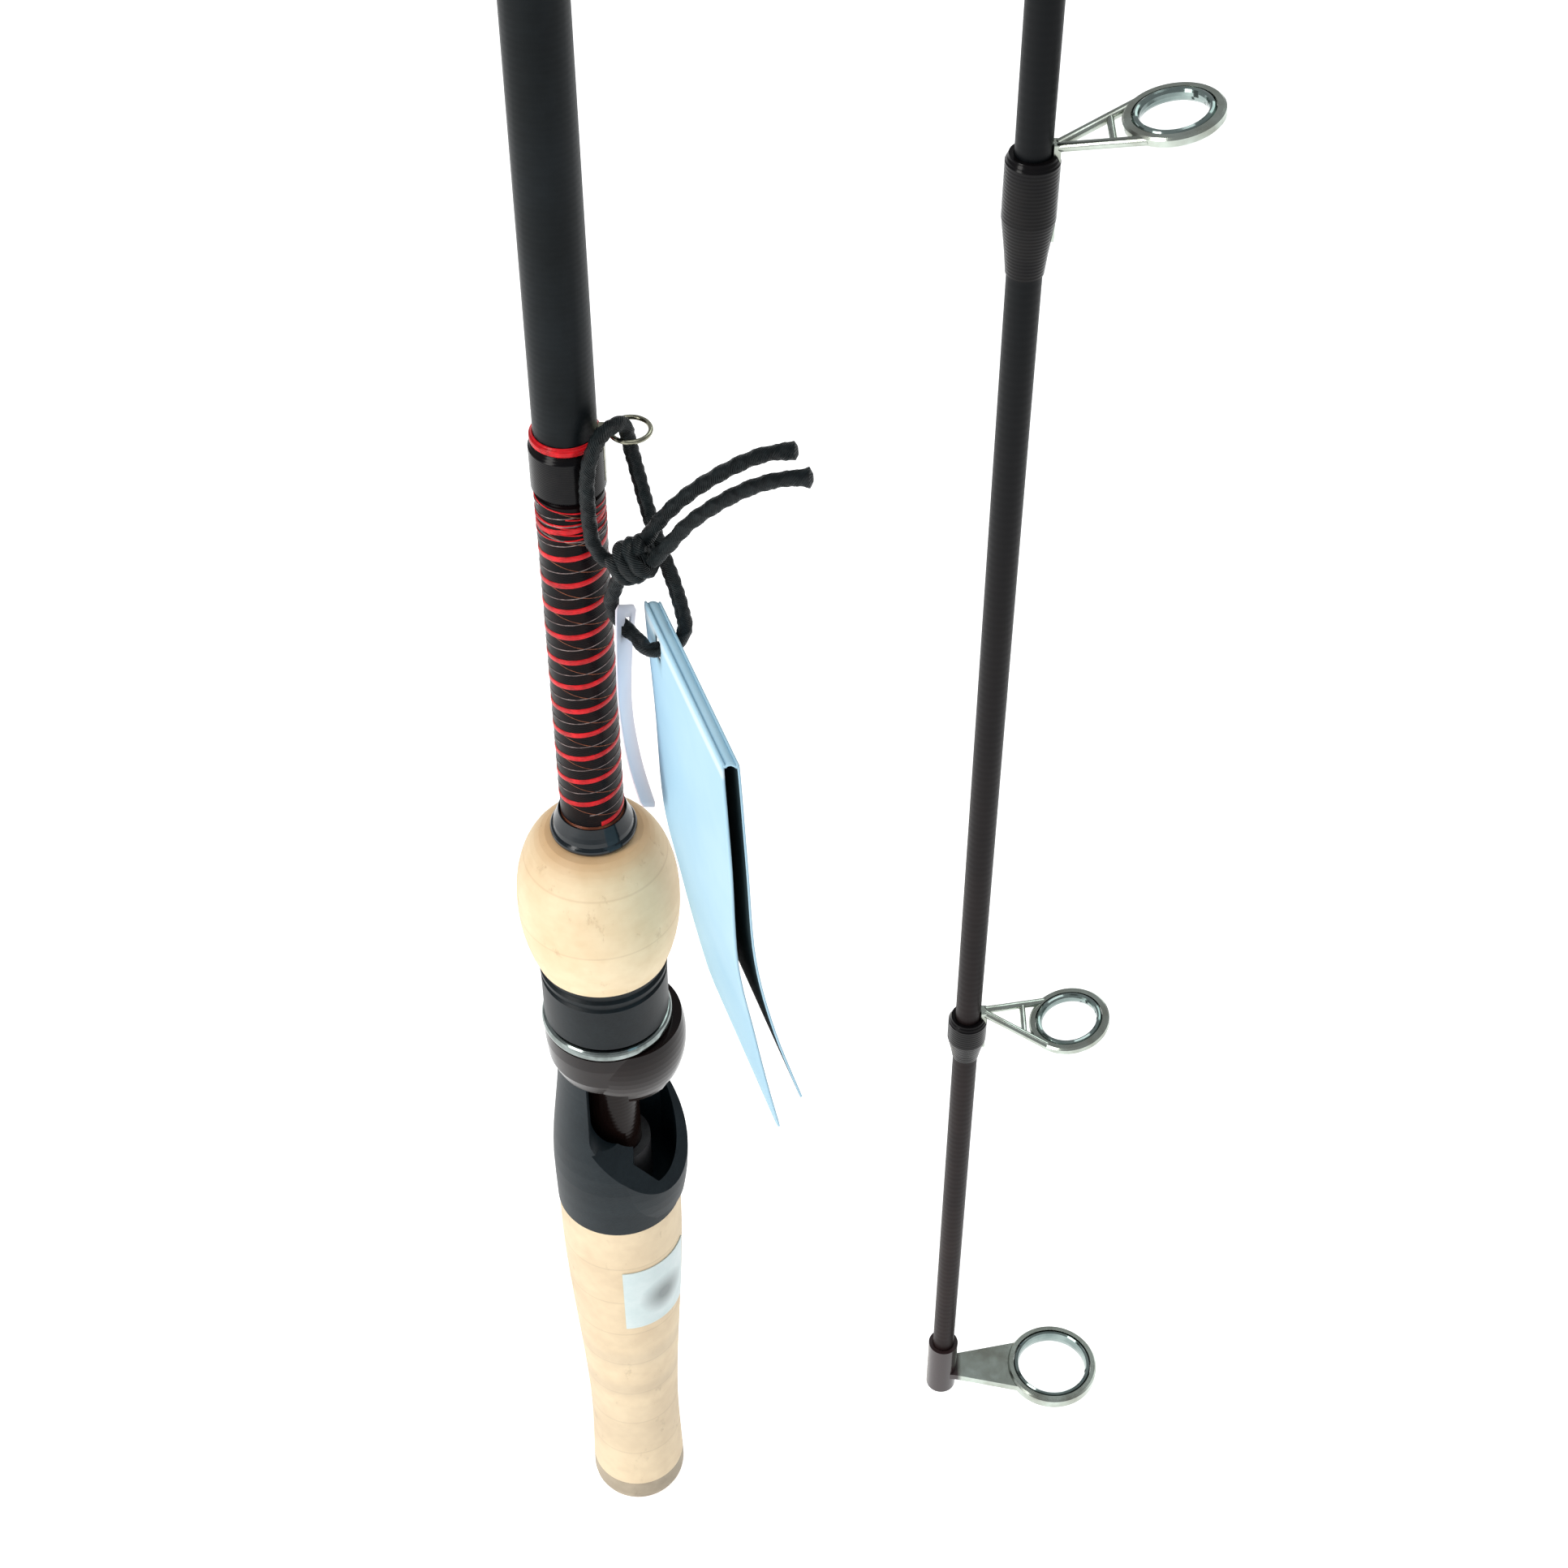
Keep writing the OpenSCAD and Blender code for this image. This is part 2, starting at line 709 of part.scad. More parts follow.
socket_depth = spigot_len + 1;
socket_r = spigot_d / 2 + 0.04;
module ferrule_sleeve() {
  color(blank_black)
    on_tip(tip_root)
      difference() {
        rotate_extrude()
          polygon([[0, 0], [tip_r(tip_root), 0], [sleeve_d / 2, 10],
            [sleeve_d / 2, sleeve_len], [0, sleeve_len]]);
        translate([0, 0, sleeve_len - socket_depth])
          cylinder(h = socket_depth + 1, r = socket_r);
      }
}

ferrule_wrap_len = 26;
module ferrule_wrap() {
  color(thread_black)
    on_tip(tip_len - ferrule_wrap_len - 1)
      turned([[sleeve_d / 2 + 0.1, 0], [sleeve_d / 2 + 0.45, 1],
        [sleeve_d / 2 + 0.45, ferrule_wrap_len - 1], [sleeve_d / 2 + 0.1, ferrule_wrap_len]],
        sleeve_d / 2 + glue);
}

// Guides of the tip half: distance from the tip, ring size, length of foot, and how far
// each ring has been bent up or down from square
guide_l = [75.5, 187.5, 310, 450, 620];
guide_foot_l = [0.55, 0.95, 1, 1.1, 1.3] * foot_len;
guide_rise = [-1.1, 3.4, 1.4, 1.2, 1.4];
function guide_od(i) = small_od + [0.5, 0, 1.8, 4.3, 8.3][i];

module tip_guide(i) {
  on_tip(guide_l[i]) guide_frame(guide_od(i), tip_r(guide_l[i]), guide_rise[i], guide_foot_l[i]);
}
module tip_guide_ring(i) {
  on_tip(guide_l[i]) guide_insert(guide_od(i), tip_r(guide_l[i]), guide_rise[i]);
}
module tip_guide_wrap(i) {
  on_tip(guide_l[i]) guide_wrap(guide_od(i), tip_r(guide_l[i]), guide_foot_l[i]);
}

// Tip-top: a tube over the blank's end, a flat web and a ring
tip_tube_len = 9;
tip_tube_d = tip_d + 1.1;
function tip_top_reach() = tip_d / 2 + tip_top_od * 0.62 + 6;
tip_top_h = 3.2;                              // height of the ring above the end
module tip_top() {
  reach = tip_top_reach();
  ring_r = tip_top_od / 2 - rim_t / 2;
  color(silver)
    on_tip(0)
      difference() {
        union() {
          cylinder(h = tip_tube_len, r = tip_tube_d / 2);
          translate([0, 0, tip_top_h - 0.5])
            linear_extrude(1)
              polygon([[0, -1.5], [tip_tube_d / 2, -1.7], [reach - tip_top_od * 0.4, -3.4],
                [reach - tip_top_od * 0.4, 3.4], [tip_tube_d / 2, 1.7], [0, 1.5]]);
          translate([reach, 0, tip_top_h])
            rotate_extrude($fn = 64)
              translate([ring_r, 0])
                polygon([[-rim_t / 2, -0.9], [rim_t / 2 - 0.2, -0.9], [rim_t / 2, -0.6],
                  [rim_t / 2, 0.6], [rim_t / 2 - 0.2, 0.9], [-rim_t / 2, 0.9]]);
        }
        translate([0, 0, 0.8])
          cylinder(h = tip_tube_len + 1, r = tip_r(tip_tube_len) + glue);
        translate([reach, 0, -1])
          cylinder(h = 10, r = tip_top_od / 2 - rim_t, $fn = 64);
      }
}

module tip_top_ring() {
  r = tip_top_od / 2 - rim_t - insert_t / 2 - 0.02;
  color(blank_black)
    on_tip(0)
      translate([tip_top_reach(), 0, tip_top_h])
        rotate_extrude($fn = 64)
          translate([r, 0])
            polygon([for (a = [0:30:330]) [insert_t / 2 * cos(a), 1.05 * sin(a)]]);
}

// ---------- Hang tag and its cord, on the keeper's side ----------

cord_d = 2.4;
cord_sides = 8;

// Cord from the knot up to the keeper ring, through it, down through the card and
// the slip, and back to the knot
cord_route = [
  [8.2, -10.6, 286.8], [5.8, -9.2, 286.2], [4, -8, 288.2], [3.5, -7.5, 292],
  [3.4, -7.4, 296], [3.5, -7.2, 300], [4.2, -6.7, 304], [5.7, -5.3, 307],
  [7.8, -3, 307.6], [9.3, -1, 306.2], [9.8, -0.6, 303], [11, -2, 298],
  [12.6, -5, 292.6], [14.4, -8.4, 288.2], [16.4, -11.6, 284], [17.8, -14, 279.8],
  [18.2, -14.9, 276.6], [16.8, -15.3, 274], [13.9, -15.9, 273.2], [12, -15.5, 272.9],
  [10.4, -13, 273], [8.75, -11.6, 273.7], [7.2, -10.8, 275.6], [6.5, -11.1, 278.8],
  [7.2, -11.7, 282.2], [8.3, -12, 285.4]
];
// The two cut ends above the knot
tail_upper_route = [
  [12.2, -11.2, 291.4], [14.4, -11.4, 295.3], [17.4, -11.6, 299.2], [21, -11.8, 302.8],
  [26, -12, 306.6], [31, -12, 309.1], [36.2, -12, 309.9]
];
tail_lower_route = [
  [13.4, -13.6, 289.4], [16.2, -14, 293.2], [19.4, -14.3, 297.6], [24, -14.6, 301.8],
  [29, -15, 305.2], [33.6, -15.6, 307.2], [38.4, -16, 307.9]
];
knot_at = [10.6, -12, 288.4];
knot_r = 3.8;

// Catmull-Rom point between b and c
function spline(a, b, c, d, t) =
  0.5 * ((2 * b) + (c - a) * t + (2 * a - 5 * b + 4 * c - d) * t * t
    + (3 * b - a - 3 * c + d) * t * t * t);
function smooth(p, n) = let (m = len(p) - 1)
  [for (i = [0:m - 1], k = [0:n - 1])
    spline(p[max(i - 1, 0)], p[i], p[i + 1], p[min(i + 2, m)], k / n), p[m]];
function unit(v) = v / norm(v);

// Side vector carried along the route without twisting
function carried(dirs, i, side) =
  i == len(dirs) ? [] :
  let (s = unit(side - (side * dirs[i]) * dirs[i])) concat([s], carried(dirs, i + 1, s));

module cord_tube(route) {
  p = smooth(route, 2);
  n = len(p);
  dirs = [for (i = [0:n - 1]) unit(p[min(i + 1, n - 1)] - p[max(i - 1, 0)])];
  sides = carried(dirs, 0, [0.3, 0.9, 0.1]);
  rings = [for (i = [0:n - 1], k = [0:cord_sides - 1])
    let (a = 360 * k / cord_sides, v = cross(dirs[i], sides[i]))
    p[i] + cord_d / 2 * (cos(a) * sides[i] + sin(a) * v)];
  walls = [for (i = [0:n - 2], k = [0:cord_sides - 1])
    let (q = (k + 1) % cord_sides)
    [i * cord_sides + k, i * cord_sides + q, (i + 1) * cord_sides + q, (i + 1) * cord_sides + k]];
  ends = [[for (k = [cord_sides - 1:-1:0]) k],
    [for (k = [0:cord_sides - 1]) (n - 1) * cord_sides + k]];
  polyhedron(points = rings,
    faces = [for (f = concat(walls, ends)) [for (j = [len(f) - 1:-1:0]) f[j]]], convexity = 8);
}

module keeper_side() {
  rotate([0, 0, keeper_turn])
    children();
}

module tag_cord() { color(cord_black) keeper_side() cord_tube(cord_route); }
module cord_tail_upper() { color(cord_black) keeper_side() cord_tube(tail_upper_route); }
module cord_tail_lower() { color(cord_black) keeper_side() cord_tube(tail_lower_route); }

module cord_knot() {
  color(cord_black)
    keeper_side()
      translate(knot_at)
        sphere(r = knot_r, $fn = 48);
}

// A bent sheet: each station is a point of its far edge, a point of its near edge
// and the step through its thickness
module bent_sheet(stations) {
  n = len(stations);
  pts = [for (w = stations) each [w[0], w[1], w[1] + w[2], w[0] + w[2]]];
  walls = [for (i = [0:n - 2], k = [0:3])
    let (q = (k + 1) % 4, a = 4 * i + k, b = 4 * i + q, c = 4 * i + 4 + q, d = 4 * i + 4 + k)
    each [[a, b, c], [a, c, d]]];
  ends = [[3, 2, 1], [3, 1, 0], [4 * n - 4, 4 * n - 3, 4 * n - 2], [4 * n - 4, 4 * n - 2, 4 * n - 1]];
  polyhedron(points = pts, faces = concat(walls, ends), convexity = 6);
}

// Card folded over at the top; the leaf by the rod first, from its lower edge up,
// then over the fold and down the other leaf
tag_out = [0.938, 0.346, 0];
tag_t = 0.4;
tag_span = [12.9, -35, -2];                 // from the far edge to the near one
tag_middle = [
  [[26.75, -27.5, 187], tag_out],
  [[24.4, -27.5, 200], tag_out],
  [[22.2, -27.5, 214], tag_out],
  [[19.7, -27.5, 231.6], tag_out],
  [[19, -27.5, 254], tag_out],
  [[18.1, -27.5, 275], tag_out],
  [[18.5, -27.5, 276.6], (tag_out - [0, 0, 1]) * 0.7],
  [[19.5, -27.5, 277.2], [0, 0, -1]],
  [[20.5, -27.5, 276.6], (-tag_out - [0, 0, 1]) * 0.7],
  [[20.9, -27.5, 275], -tag_out],
  [[21.9, -27.5, 254], -tag_out],
  [[23, -27.5, 232.5], -tag_out],
  [[26.2, -27.5, 214], -tag_out],
  [[31.2, -27.5, 195], -tag_out]
];
tag_stations = [for (w = tag_middle) [w[0] - tag_span / 2, w[0] + tag_span / 2, w[1] * tag_t]];
tag_hole = [13.8, -15.9, 273.2];
module tag_card() {
  color([0.72, 0.84, 0.92])
    keeper_side()
      difference() {
        bent_sheet(tag_stations);
        bar(tag_hole - tag_out * 4, tag_hole + tag_out * 4, 1.7);
      }
}

// Narrow slip of thin card on the same cord
slip_out = [-0.88, 0.47, 0];
slip_t = 0.3;
slip_stations = [
  [[10.3, -8.5, 276.1], [7.6, -14.5, 281.2], slip_out * slip_t],
  [[9.2, -8.5, 266], [7.2, -14.5, 270.6], slip_out * slip_t],
  [[8.7, -8.7, 253.8], [7.1, -14.7, 259], slip_out * slip_t],
  [[9.9, -9.8, 242.4], [8.1, -15.8, 248], slip_out * slip_t],
  [[12.1, -11, 232.3], [10.1, -17, 238.4], slip_out * slip_t]
];
slip_hole = [8.75, -11.6, 273.7];
module tag_slip() {
  color([0.86, 0.84, 0.9])
    keeper_side()
      difference() {
        bent_sheet(slip_stations);
        bar(slip_hole - slip_out * 3, slip_hole + slip_out * 3, 1.9);
      }
}

butt_blank();
spigot_plug();
butt_cork();
rear_grip();
seat_arbors();
reel_seat();
reel_hood();
hood_trim_ring();
nut_collar();
fore_grip();
winding_check();
copper_band();
handle_wrap();
keeper_wrap();
red_band();
hook_keeper();
label();
stripper_guide();
stripper_ring();
stripper_wrap();
second_guide();
second_ring();
second_wrap();
spigot_wrap();
tip_blank();
ferrule_sleeve();
ferrule_wrap();
tip_guide(0);  // guide_1
tip_guide_ring(0);  // guide_1_ring
tip_guide_wrap(0);  // guide_1_wrap
tip_guide(1);  // guide_2
tip_guide_ring(1);  // guide_2_ring
tip_guide_wrap(1);  // guide_2_wrap
tip_guide(2);  // guide_3
tip_guide_ring(2);  // guide_3_ring
tip_guide_wrap(2);  // guide_3_wrap
tip_guide(3);  // guide_4
tip_guide_ring(3);  // guide_4_ring
tip_guide_wrap(3);  // guide_4_wrap
tip_guide(4);  // guide_5
tip_guide_ring(4);  // guide_5_ring
tip_guide_wrap(4);  // guide_5_wrap
tip_top();
tip_top_ring();
tag_card();
tag_slip();
tag_cord();
cord_knot();
cord_tail_upper();
cord_tail_lower();
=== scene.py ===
import math
import bpy
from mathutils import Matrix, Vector


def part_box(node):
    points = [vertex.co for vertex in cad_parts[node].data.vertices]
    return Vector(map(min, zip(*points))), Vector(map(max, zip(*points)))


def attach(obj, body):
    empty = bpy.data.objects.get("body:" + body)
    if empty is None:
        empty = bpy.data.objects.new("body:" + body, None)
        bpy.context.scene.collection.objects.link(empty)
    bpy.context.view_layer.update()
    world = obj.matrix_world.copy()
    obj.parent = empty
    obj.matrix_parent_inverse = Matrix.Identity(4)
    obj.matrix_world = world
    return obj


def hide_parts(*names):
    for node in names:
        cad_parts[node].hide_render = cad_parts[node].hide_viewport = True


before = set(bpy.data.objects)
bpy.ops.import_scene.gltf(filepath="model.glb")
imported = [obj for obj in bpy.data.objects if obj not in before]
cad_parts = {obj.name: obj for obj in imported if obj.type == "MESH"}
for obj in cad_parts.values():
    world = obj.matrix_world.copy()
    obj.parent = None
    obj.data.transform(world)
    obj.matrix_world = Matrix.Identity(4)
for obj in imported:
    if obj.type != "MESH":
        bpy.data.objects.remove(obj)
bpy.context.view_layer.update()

scene = bpy.context.scene
MM = 0.001

# ---- View, floor and light ----
# A room with a white floor and large soft lamps. The strongest one stands to the left,
# as by a window, so the left side of the rod is bright and the right side falls off.

camera = bpy.data.objects.new("camera", bpy.data.cameras.new("camera"))
camera.data.sensor_width = 36
camera.data.lens = 61.08
camera.data.clip_start = 0.01
camera.location = (0.0339, -0.330, 0.557)
camera.rotation_euler = (math.radians(45), 0, 0)
scene.collection.objects.link(camera)
scene.camera = camera
scene.view_settings.view_transform = "Standard"


def add_node(tree, kind, **settings):
    """A node with its settings, and a value or a link on each named input."""
    node = tree.nodes.new(kind)
    inputs = settings.pop("inputs", {})
    for key, value in settings.items():
        setattr(node, key, value)
    for key, value in inputs.items():
        if isinstance(value, bpy.types.NodeSocket):
            tree.links.new(value, node.inputs[key])
        else:
            node.inputs[key].default_value = value
    return node


def new_finish(name, **sockets):
    """A material with one Principled shader, and the values set on its sockets."""
    finish = bpy.data.materials.new(name)
    finish.use_nodes = True
    tree = finish.node_tree
    shader = tree.nodes["Principled BSDF"]
    for key, value in sockets.items():
        socket = shader.inputs[key.replace("_", " ")]
        if isinstance(value, bpy.types.NodeSocket):
            tree.links.new(value, socket)
        else:
            socket.default_value = value
    return finish, tree, shader


def rgb(red, green, blue):
    return (red, green, blue, 1)


world = bpy.data.worlds.new("room")
world.use_nodes = True
room = world.node_tree
glow = room.nodes["Background"]
glow.inputs["Color"].default_value = rgb(0.95, 0.97, 1)
glow.inputs["Strength"].default_value = 0.36
wall = add_node(room, "ShaderNodeBackground", inputs={"Color": rgb(0.93, 0.94, 0.95), "Strength": 1.0})
seen = add_node(room, "ShaderNodeLightPath")
either = add_node(room, "ShaderNodeMixShader", inputs={
    0: seen.outputs["Is Camera Ray"], 1: glow.outputs[0], 2: wall.outputs[0]})
room.links.new(either.outputs[0], room.nodes["World Output"].inputs["Surface"])
scene.world = world


def lamp(name, place, aim, width, height, power, colour):
    light = bpy.data.lights.new(name, "AREA")
    light.shape = "RECTANGLE"
    light.size = width
    light.size_y = height
    light.energy = power
    light.color = colour
    lamp_object = bpy.data.objects.new(name, light)
    lamp_object.location = place
    toward = Vector(aim) - Vector(place)
    lamp_object.rotation_euler = toward.to_track_quat("-Z", "Y").to_euler()
    scene.collection.objects.link(lamp_object)


lamp("window_left", (-0.95, -0.75, 0.95), (0, 0, 0.25), 0.45, 1.1, 12, (1, 0.98, 0.95))
lamp("window_back", (0.7, 0.9, 1.3), (0, 0, 0.3), 0.8, 0.6, 3.2, (0.9, 1, 0.97))
lamp("ceiling", (0.1, -0.2, 2.1), (0, 0, 0), 0.8, 0.8, 4.5, (1, 1, 1))

FLOOR_HALF = 4
FLOOR_Z = -0.2 * MM
floor_mesh = bpy.data.meshes.new("floor")
floor_mesh.from_pydata([(x * FLOOR_HALF, y * FLOOR_HALF, FLOOR_Z)
                        for x, y in ((-1, -1), (1, -1), (1, 1), (-1, 1))], [], [(0, 1, 2, 3)])
floor = bpy.data.objects.new("floor", floor_mesh)
scene.collection.objects.link(floor)
floor_paint = new_finish(
    "floor_paint", Base_Color=rgb(0.93, 0.93, 0.93), Roughness=0.8,
    Emission_Color=rgb(1, 1, 1), Emission_Strength=0.72)[0]
floor_mesh.materials.append(floor_paint)


# ---- Hang tag's cord ----
# One length of round braided black cord, tied to itself in a knot. It runs up from the
# knot, through the keeper ring, and down through the holes of the card and the slip.

CORD_R = 1.2 * MM
cord_route = [
    (8.2, -10.6, 286.8), (5.8, -9.2, 286.2), (4, -8, 288.2), (3.5, -7.5, 292),
    (3.4, -7.4, 296), (3.5, -7.2, 300), (4.2, -6.7, 304), (5.7, -5.3, 307),
    (7.8, -3, 307.6), (9.3, -1, 306.2), (9.8, -0.6, 303), (11, -2, 298),
    (12.6, -5, 292.6), (14.4, -8.4, 288.2), (16.4, -11.6, 284), (17.8, -14, 279.8),
    (18.2, -14.9, 276.6), (16.8, -15.3, 274), (13.9, -15.9, 273.2), (12, -15.5, 272.9),
    (10.4, -13, 273), (8.75, -11.6, 273.7), (7.2, -10.8, 275.6), (6.5, -11.1, 278.8),
    (7.2, -11.7, 282.2), (8.3, -12, 285.4)]
tail_upper_route = [
    (12.2, -11.2, 291.4), (14.4, -11.4, 295.3), (17.4, -11.6, 299.2), (21, -11.8, 302.8),
    (26, -12, 306.6), (31, -12, 309.1), (36.2, -12, 309.9)]
tail_lower_route = [
    (13.4, -13.6, 289.4), (16.2, -14, 293.2), (19.4, -14.3, 297.6), (24, -14.6, 301.8),
    (29, -15, 305.2), (33.6, -15.6, 307.2), (38.4, -16, 307.9)]
KNOT_AT = Vector((10.6, -12, 288.4)) * MM


def smooth_route(points, per_span):
    """Points in millimetres to a smooth path in metres, through every point."""
    p = [Vector(q) * MM for q in points]
    last = len(p) - 1
    path = []
    for i in range(last):
        a, b, c, d = p[max(i - 1, 0)], p[i], p[i + 1], p[min(i + 2, last)]
        for k in range(per_span):
            t = k / per_span
            path.append(0.5 * (2 * b + (c - a) * t + (2 * a - 5 * b + 4 * c - d) * t * t
                               + (3 * b - a - 3 * c + d) * t ** 3))
    return path + [p[last]]


def even_path(path, step):
    """The same path with points one step apart."""
    points, left = [path[0].copy()], step
    for a, b in zip(path, path[1:]):
        span, done = (b - a).length, 0.0
        while span - done >= left:
            done += left
            points.append(a.lerp(b, done / span))
            left = step
        left -= span - done
    return points


def path_length(path):
    return sum((b - a).length for a, b in zip(path, path[1:]))


def new_piece(name, verts, faces, finish, uvs=None):
    mesh = bpy.data.meshes.new(name)
    mesh.from_pydata([tuple(v) for v in verts], [], faces)
    if uvs:
        layer = mesh.uv_layers.new(name="along")
        for loop in mesh.loops:
            layer.data[loop.index].uv = uvs[loop.vertex_index]
    mesh.materials.append(finish)
    for polygon in mesh.polygons:
        polygon.use_smooth = True
    mesh.update()
    piece = bpy.data.objects.new(name, mesh)
    scene.collection.objects.link(piece)
    return piece


def swept(path, radius, sides, relief=None, swell=None):
    """A closed round tube along a path. relief(turn, along) lifts the surface."""
    verts, faces, uvs = [], [], []
    side = Vector((0.3, 0.9, 0.1))
    along = 0.0
    total = path_length(path)
    for i, point in enumerate(path):
        ahead = path[min(i + 1, len(path) - 1)] - path[max(i - 1, 0)]
        ahead.normalize()
        side = (side - ahead * side.dot(ahead)).normalized()
        across = ahead.cross(side)
        if i:
            along += (point - path[i - 1]).length
        grow = swell(along, total) if swell else 1.0
        for k in range(sides):
            turn = 2 * math.pi * k / sides
            r = radius * grow * (1 + (relief(turn, along) if relief else 0))
            verts.append(point + r * (math.cos(turn) * side + math.sin(turn) * across))
            uvs.append((k / sides, along / MM))
    for i in range(len(path) - 1):
        for k in range(sides):
            q = (k + 1) % sides
            faces.append((i * sides + k, i * sides + q, (i + 1) * sides + q, (i + 1) * sides + k))
    faces.append(tuple(range(sides - 1, -1, -1)))
    top = (len(path) - 1) * sides
    faces.append(tuple(top + k for k in range(sides)))
    return verts, faces, uvs


BRAID_PITCH = 3.4 * MM


def braid(turn, along):
    """Eight strands that cross over and under, as ridges on the cord."""
    spin = 2 * math.pi * along / BRAID_PITCH
    one = math.cos(2 * (turn + spin / 2))
    two = math.cos(2 * (turn - spin / 2))
    return 0.11 * max(one ** 3, two ** 3) - 0.045


def strand_ends(along, total):
    """Cut ends are melted into a small bead."""
    left = total - along
    if left < 0.5 * MM:
        return 0.55 + 0.75 * left / (0.5 * MM)
    if left < 2.6 * MM:
        return 1.05 + 0.25 * (1 - (left - 0.5 * MM) / (2.1 * MM))
    return 1.0


def group(name, inputs, outputs):
    """A shader node group with its inputs and outputs named."""
    tree = bpy.data.node_groups.new(name, "ShaderNodeTree")
    for label, kind, value in inputs:
        socket = tree.interface.new_socket(label, in_out="INPUT", socket_type=kind)
        if value is not None:
            socket.default_value = value
    for label, kind in outputs:
        tree.interface.new_socket(label, in_out="OUTPUT", socket_type=kind)
    return tree, tree.nodes.new("NodeGroupInput"), tree.nodes.new("NodeGroupOutput")


F, C = "NodeSocketFloat", "NodeSocketColor"

# Uneven colour: two tones in soft patches, with a finer speckle between them
mottle, into, out = group(
    "mottle", [("Tone A", C, rgb(0.5, 0.5, 0.5)), ("Tone B", C, rgb(0.4, 0.4, 0.4)),
               ("Scale", F, 60.0), ("Speckle", F, 8.0)],
    [("Color", C), ("Mask", F)])
place = add_node(mottle, "ShaderNodeTexCoord")
large = add_node(mottle, "ShaderNodeTexNoise", inputs={
    "Vector": place.outputs["Object"], "Scale": into.outputs["Scale"], "Detail": 4.0})
fine_scale = add_node(mottle, "ShaderNodeMath", operation="MULTIPLY", inputs={
    0: into.outputs["Scale"], 1: into.outputs["Speckle"]})
small = add_node(mottle, "ShaderNodeTexNoise", inputs={
    "Vector": place.outputs["Object"], "Scale": fine_scale.outputs[0], "Detail": 2.0})
both = add_node(mottle, "ShaderNodeMath", operation="MULTIPLY_ADD", inputs={
    0: small.outputs["Fac"], 1: 0.45})
mottle.links.new(large.outputs["Fac"], both.inputs[2])
spread = add_node(mottle, "ShaderNodeMapRange", inputs={
    "Value": both.outputs[0], "From Min": 0.52, "From Max": 0.92})
blend = add_node(mottle, "ShaderNodeMix", data_type="RGBA", inputs={0: spread.outputs[0]})
mottle.links.new(into.outputs["Tone A"], blend.inputs[6])
mottle.links.new(into.outputs["Tone B"], blend.inputs[7])
mottle.links.new(blend.outputs[2], out.inputs["Color"])
mottle.links.new(spread.outputs[0], out.inputs["Mask"])

# Fine lines wound round the rod, as thread lies under its varnish
windings, into, out = group("windings", [("Pitch", F, 0.0003)], [("Height", F)])
place = add_node(windings, "ShaderNodeTexCoord")
parts = add_node(windings, "ShaderNodeSeparateXYZ", inputs={0: place.outputs["Object"]})
count = add_node(windings, "ShaderNodeMath", operation="DIVIDE", inputs={
    0: parts.outputs["Z"], 1: into.outputs["Pitch"]})
turns = add_node(windings, "ShaderNodeMath", operation="MULTIPLY", inputs={
    0: count.outputs[0], 1: 2 * math.pi})
wave = add_node(windings, "ShaderNodeMath", operation="SINE", inputs={0: turns.outputs[0]})
windings.links.new(wave.outputs[0], out.inputs["Height"])


def place_group(tree, which, **inputs):
    node = add_node(tree, "ShaderNodeGroup", node_tree=which)
    for key, value in inputs.items():
        socket = node.inputs[key.replace("_", " ")]
        if isinstance(value, bpy.types.NodeSocket):
            tree.links.new(value, socket)
        else:
            socket.default_value = value
    return node


def two_tone(tree, shader, tone_a, tone_b, scale, speckle):
    """The mottle group as the colour of a finish."""
    tone = place_group(tree, mottle, Tone_A=tone_a, Tone_B=tone_b, Scale=scale, Speckle=speckle)
    tree.links.new(tone.outputs["Color"], shader.inputs["Base Color"])
    return tone


def add_bump(tree, shader, height, distance, strength=1.0):
    bump = add_node(tree, "ShaderNodeBump", inputs={
        "Height": height, "Distance": distance, "Strength": strength})
    tree.links.new(bump.outputs["Normal"], shader.inputs["Normal"])


cord_finish, tree, shader = new_finish("cord_braid", Roughness=0.42, Specular_IOR_Level=0.28)
uv = add_node(tree, "ShaderNodeUVMap", uv_map="along")
uv_parts = add_node(tree, "ShaderNodeSeparateXYZ", inputs={0: uv.outputs[0]})
slant = add_node(tree, "ShaderNodeMath", operation="MULTIPLY_ADD", inputs={
    0: uv_parts.outputs["X"], 1: 6.0})
tree.links.new(uv_parts.outputs["Y"], slant.inputs[2])
yarn = add_node(tree, "ShaderNodeMath", operation="MULTIPLY", inputs={0: slant.outputs[0], 1: 16.0})
yarn_wave = add_node(tree, "ShaderNodeMath", operation="SINE", inputs={0: yarn.outputs[0]})
two_tone(tree, shader, rgb(0.002, 0.004, 0.005), rgb(0.008, 0.014, 0.016),
         700.0, 3.0)
add_bump(tree, shader, yarn_wave.outputs[0], 0.0001, 0.8)


def cord_piece(name, route, node, ends=None):
    path = even_path(smooth_route(route, 24), 0.16 * MM)
    verts, faces, uvs = swept(path, CORD_R, 24, braid, ends)
    piece = new_piece(name, verts, faces, cord_finish, uvs)
    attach(piece, "butt_half")
    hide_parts(node)
    return piece, path


tag_loop, loop_path = cord_piece("tag_loop", cord_route, "tag_cord")
upper_end, upper_path = cord_piece("cord_end_upper", tail_upper_route, "cord_tail_upper", strand_ends)
lower_end, lower_path = cord_piece("cord_end_lower", tail_lower_route, "cord_tail_lower", strand_ends)

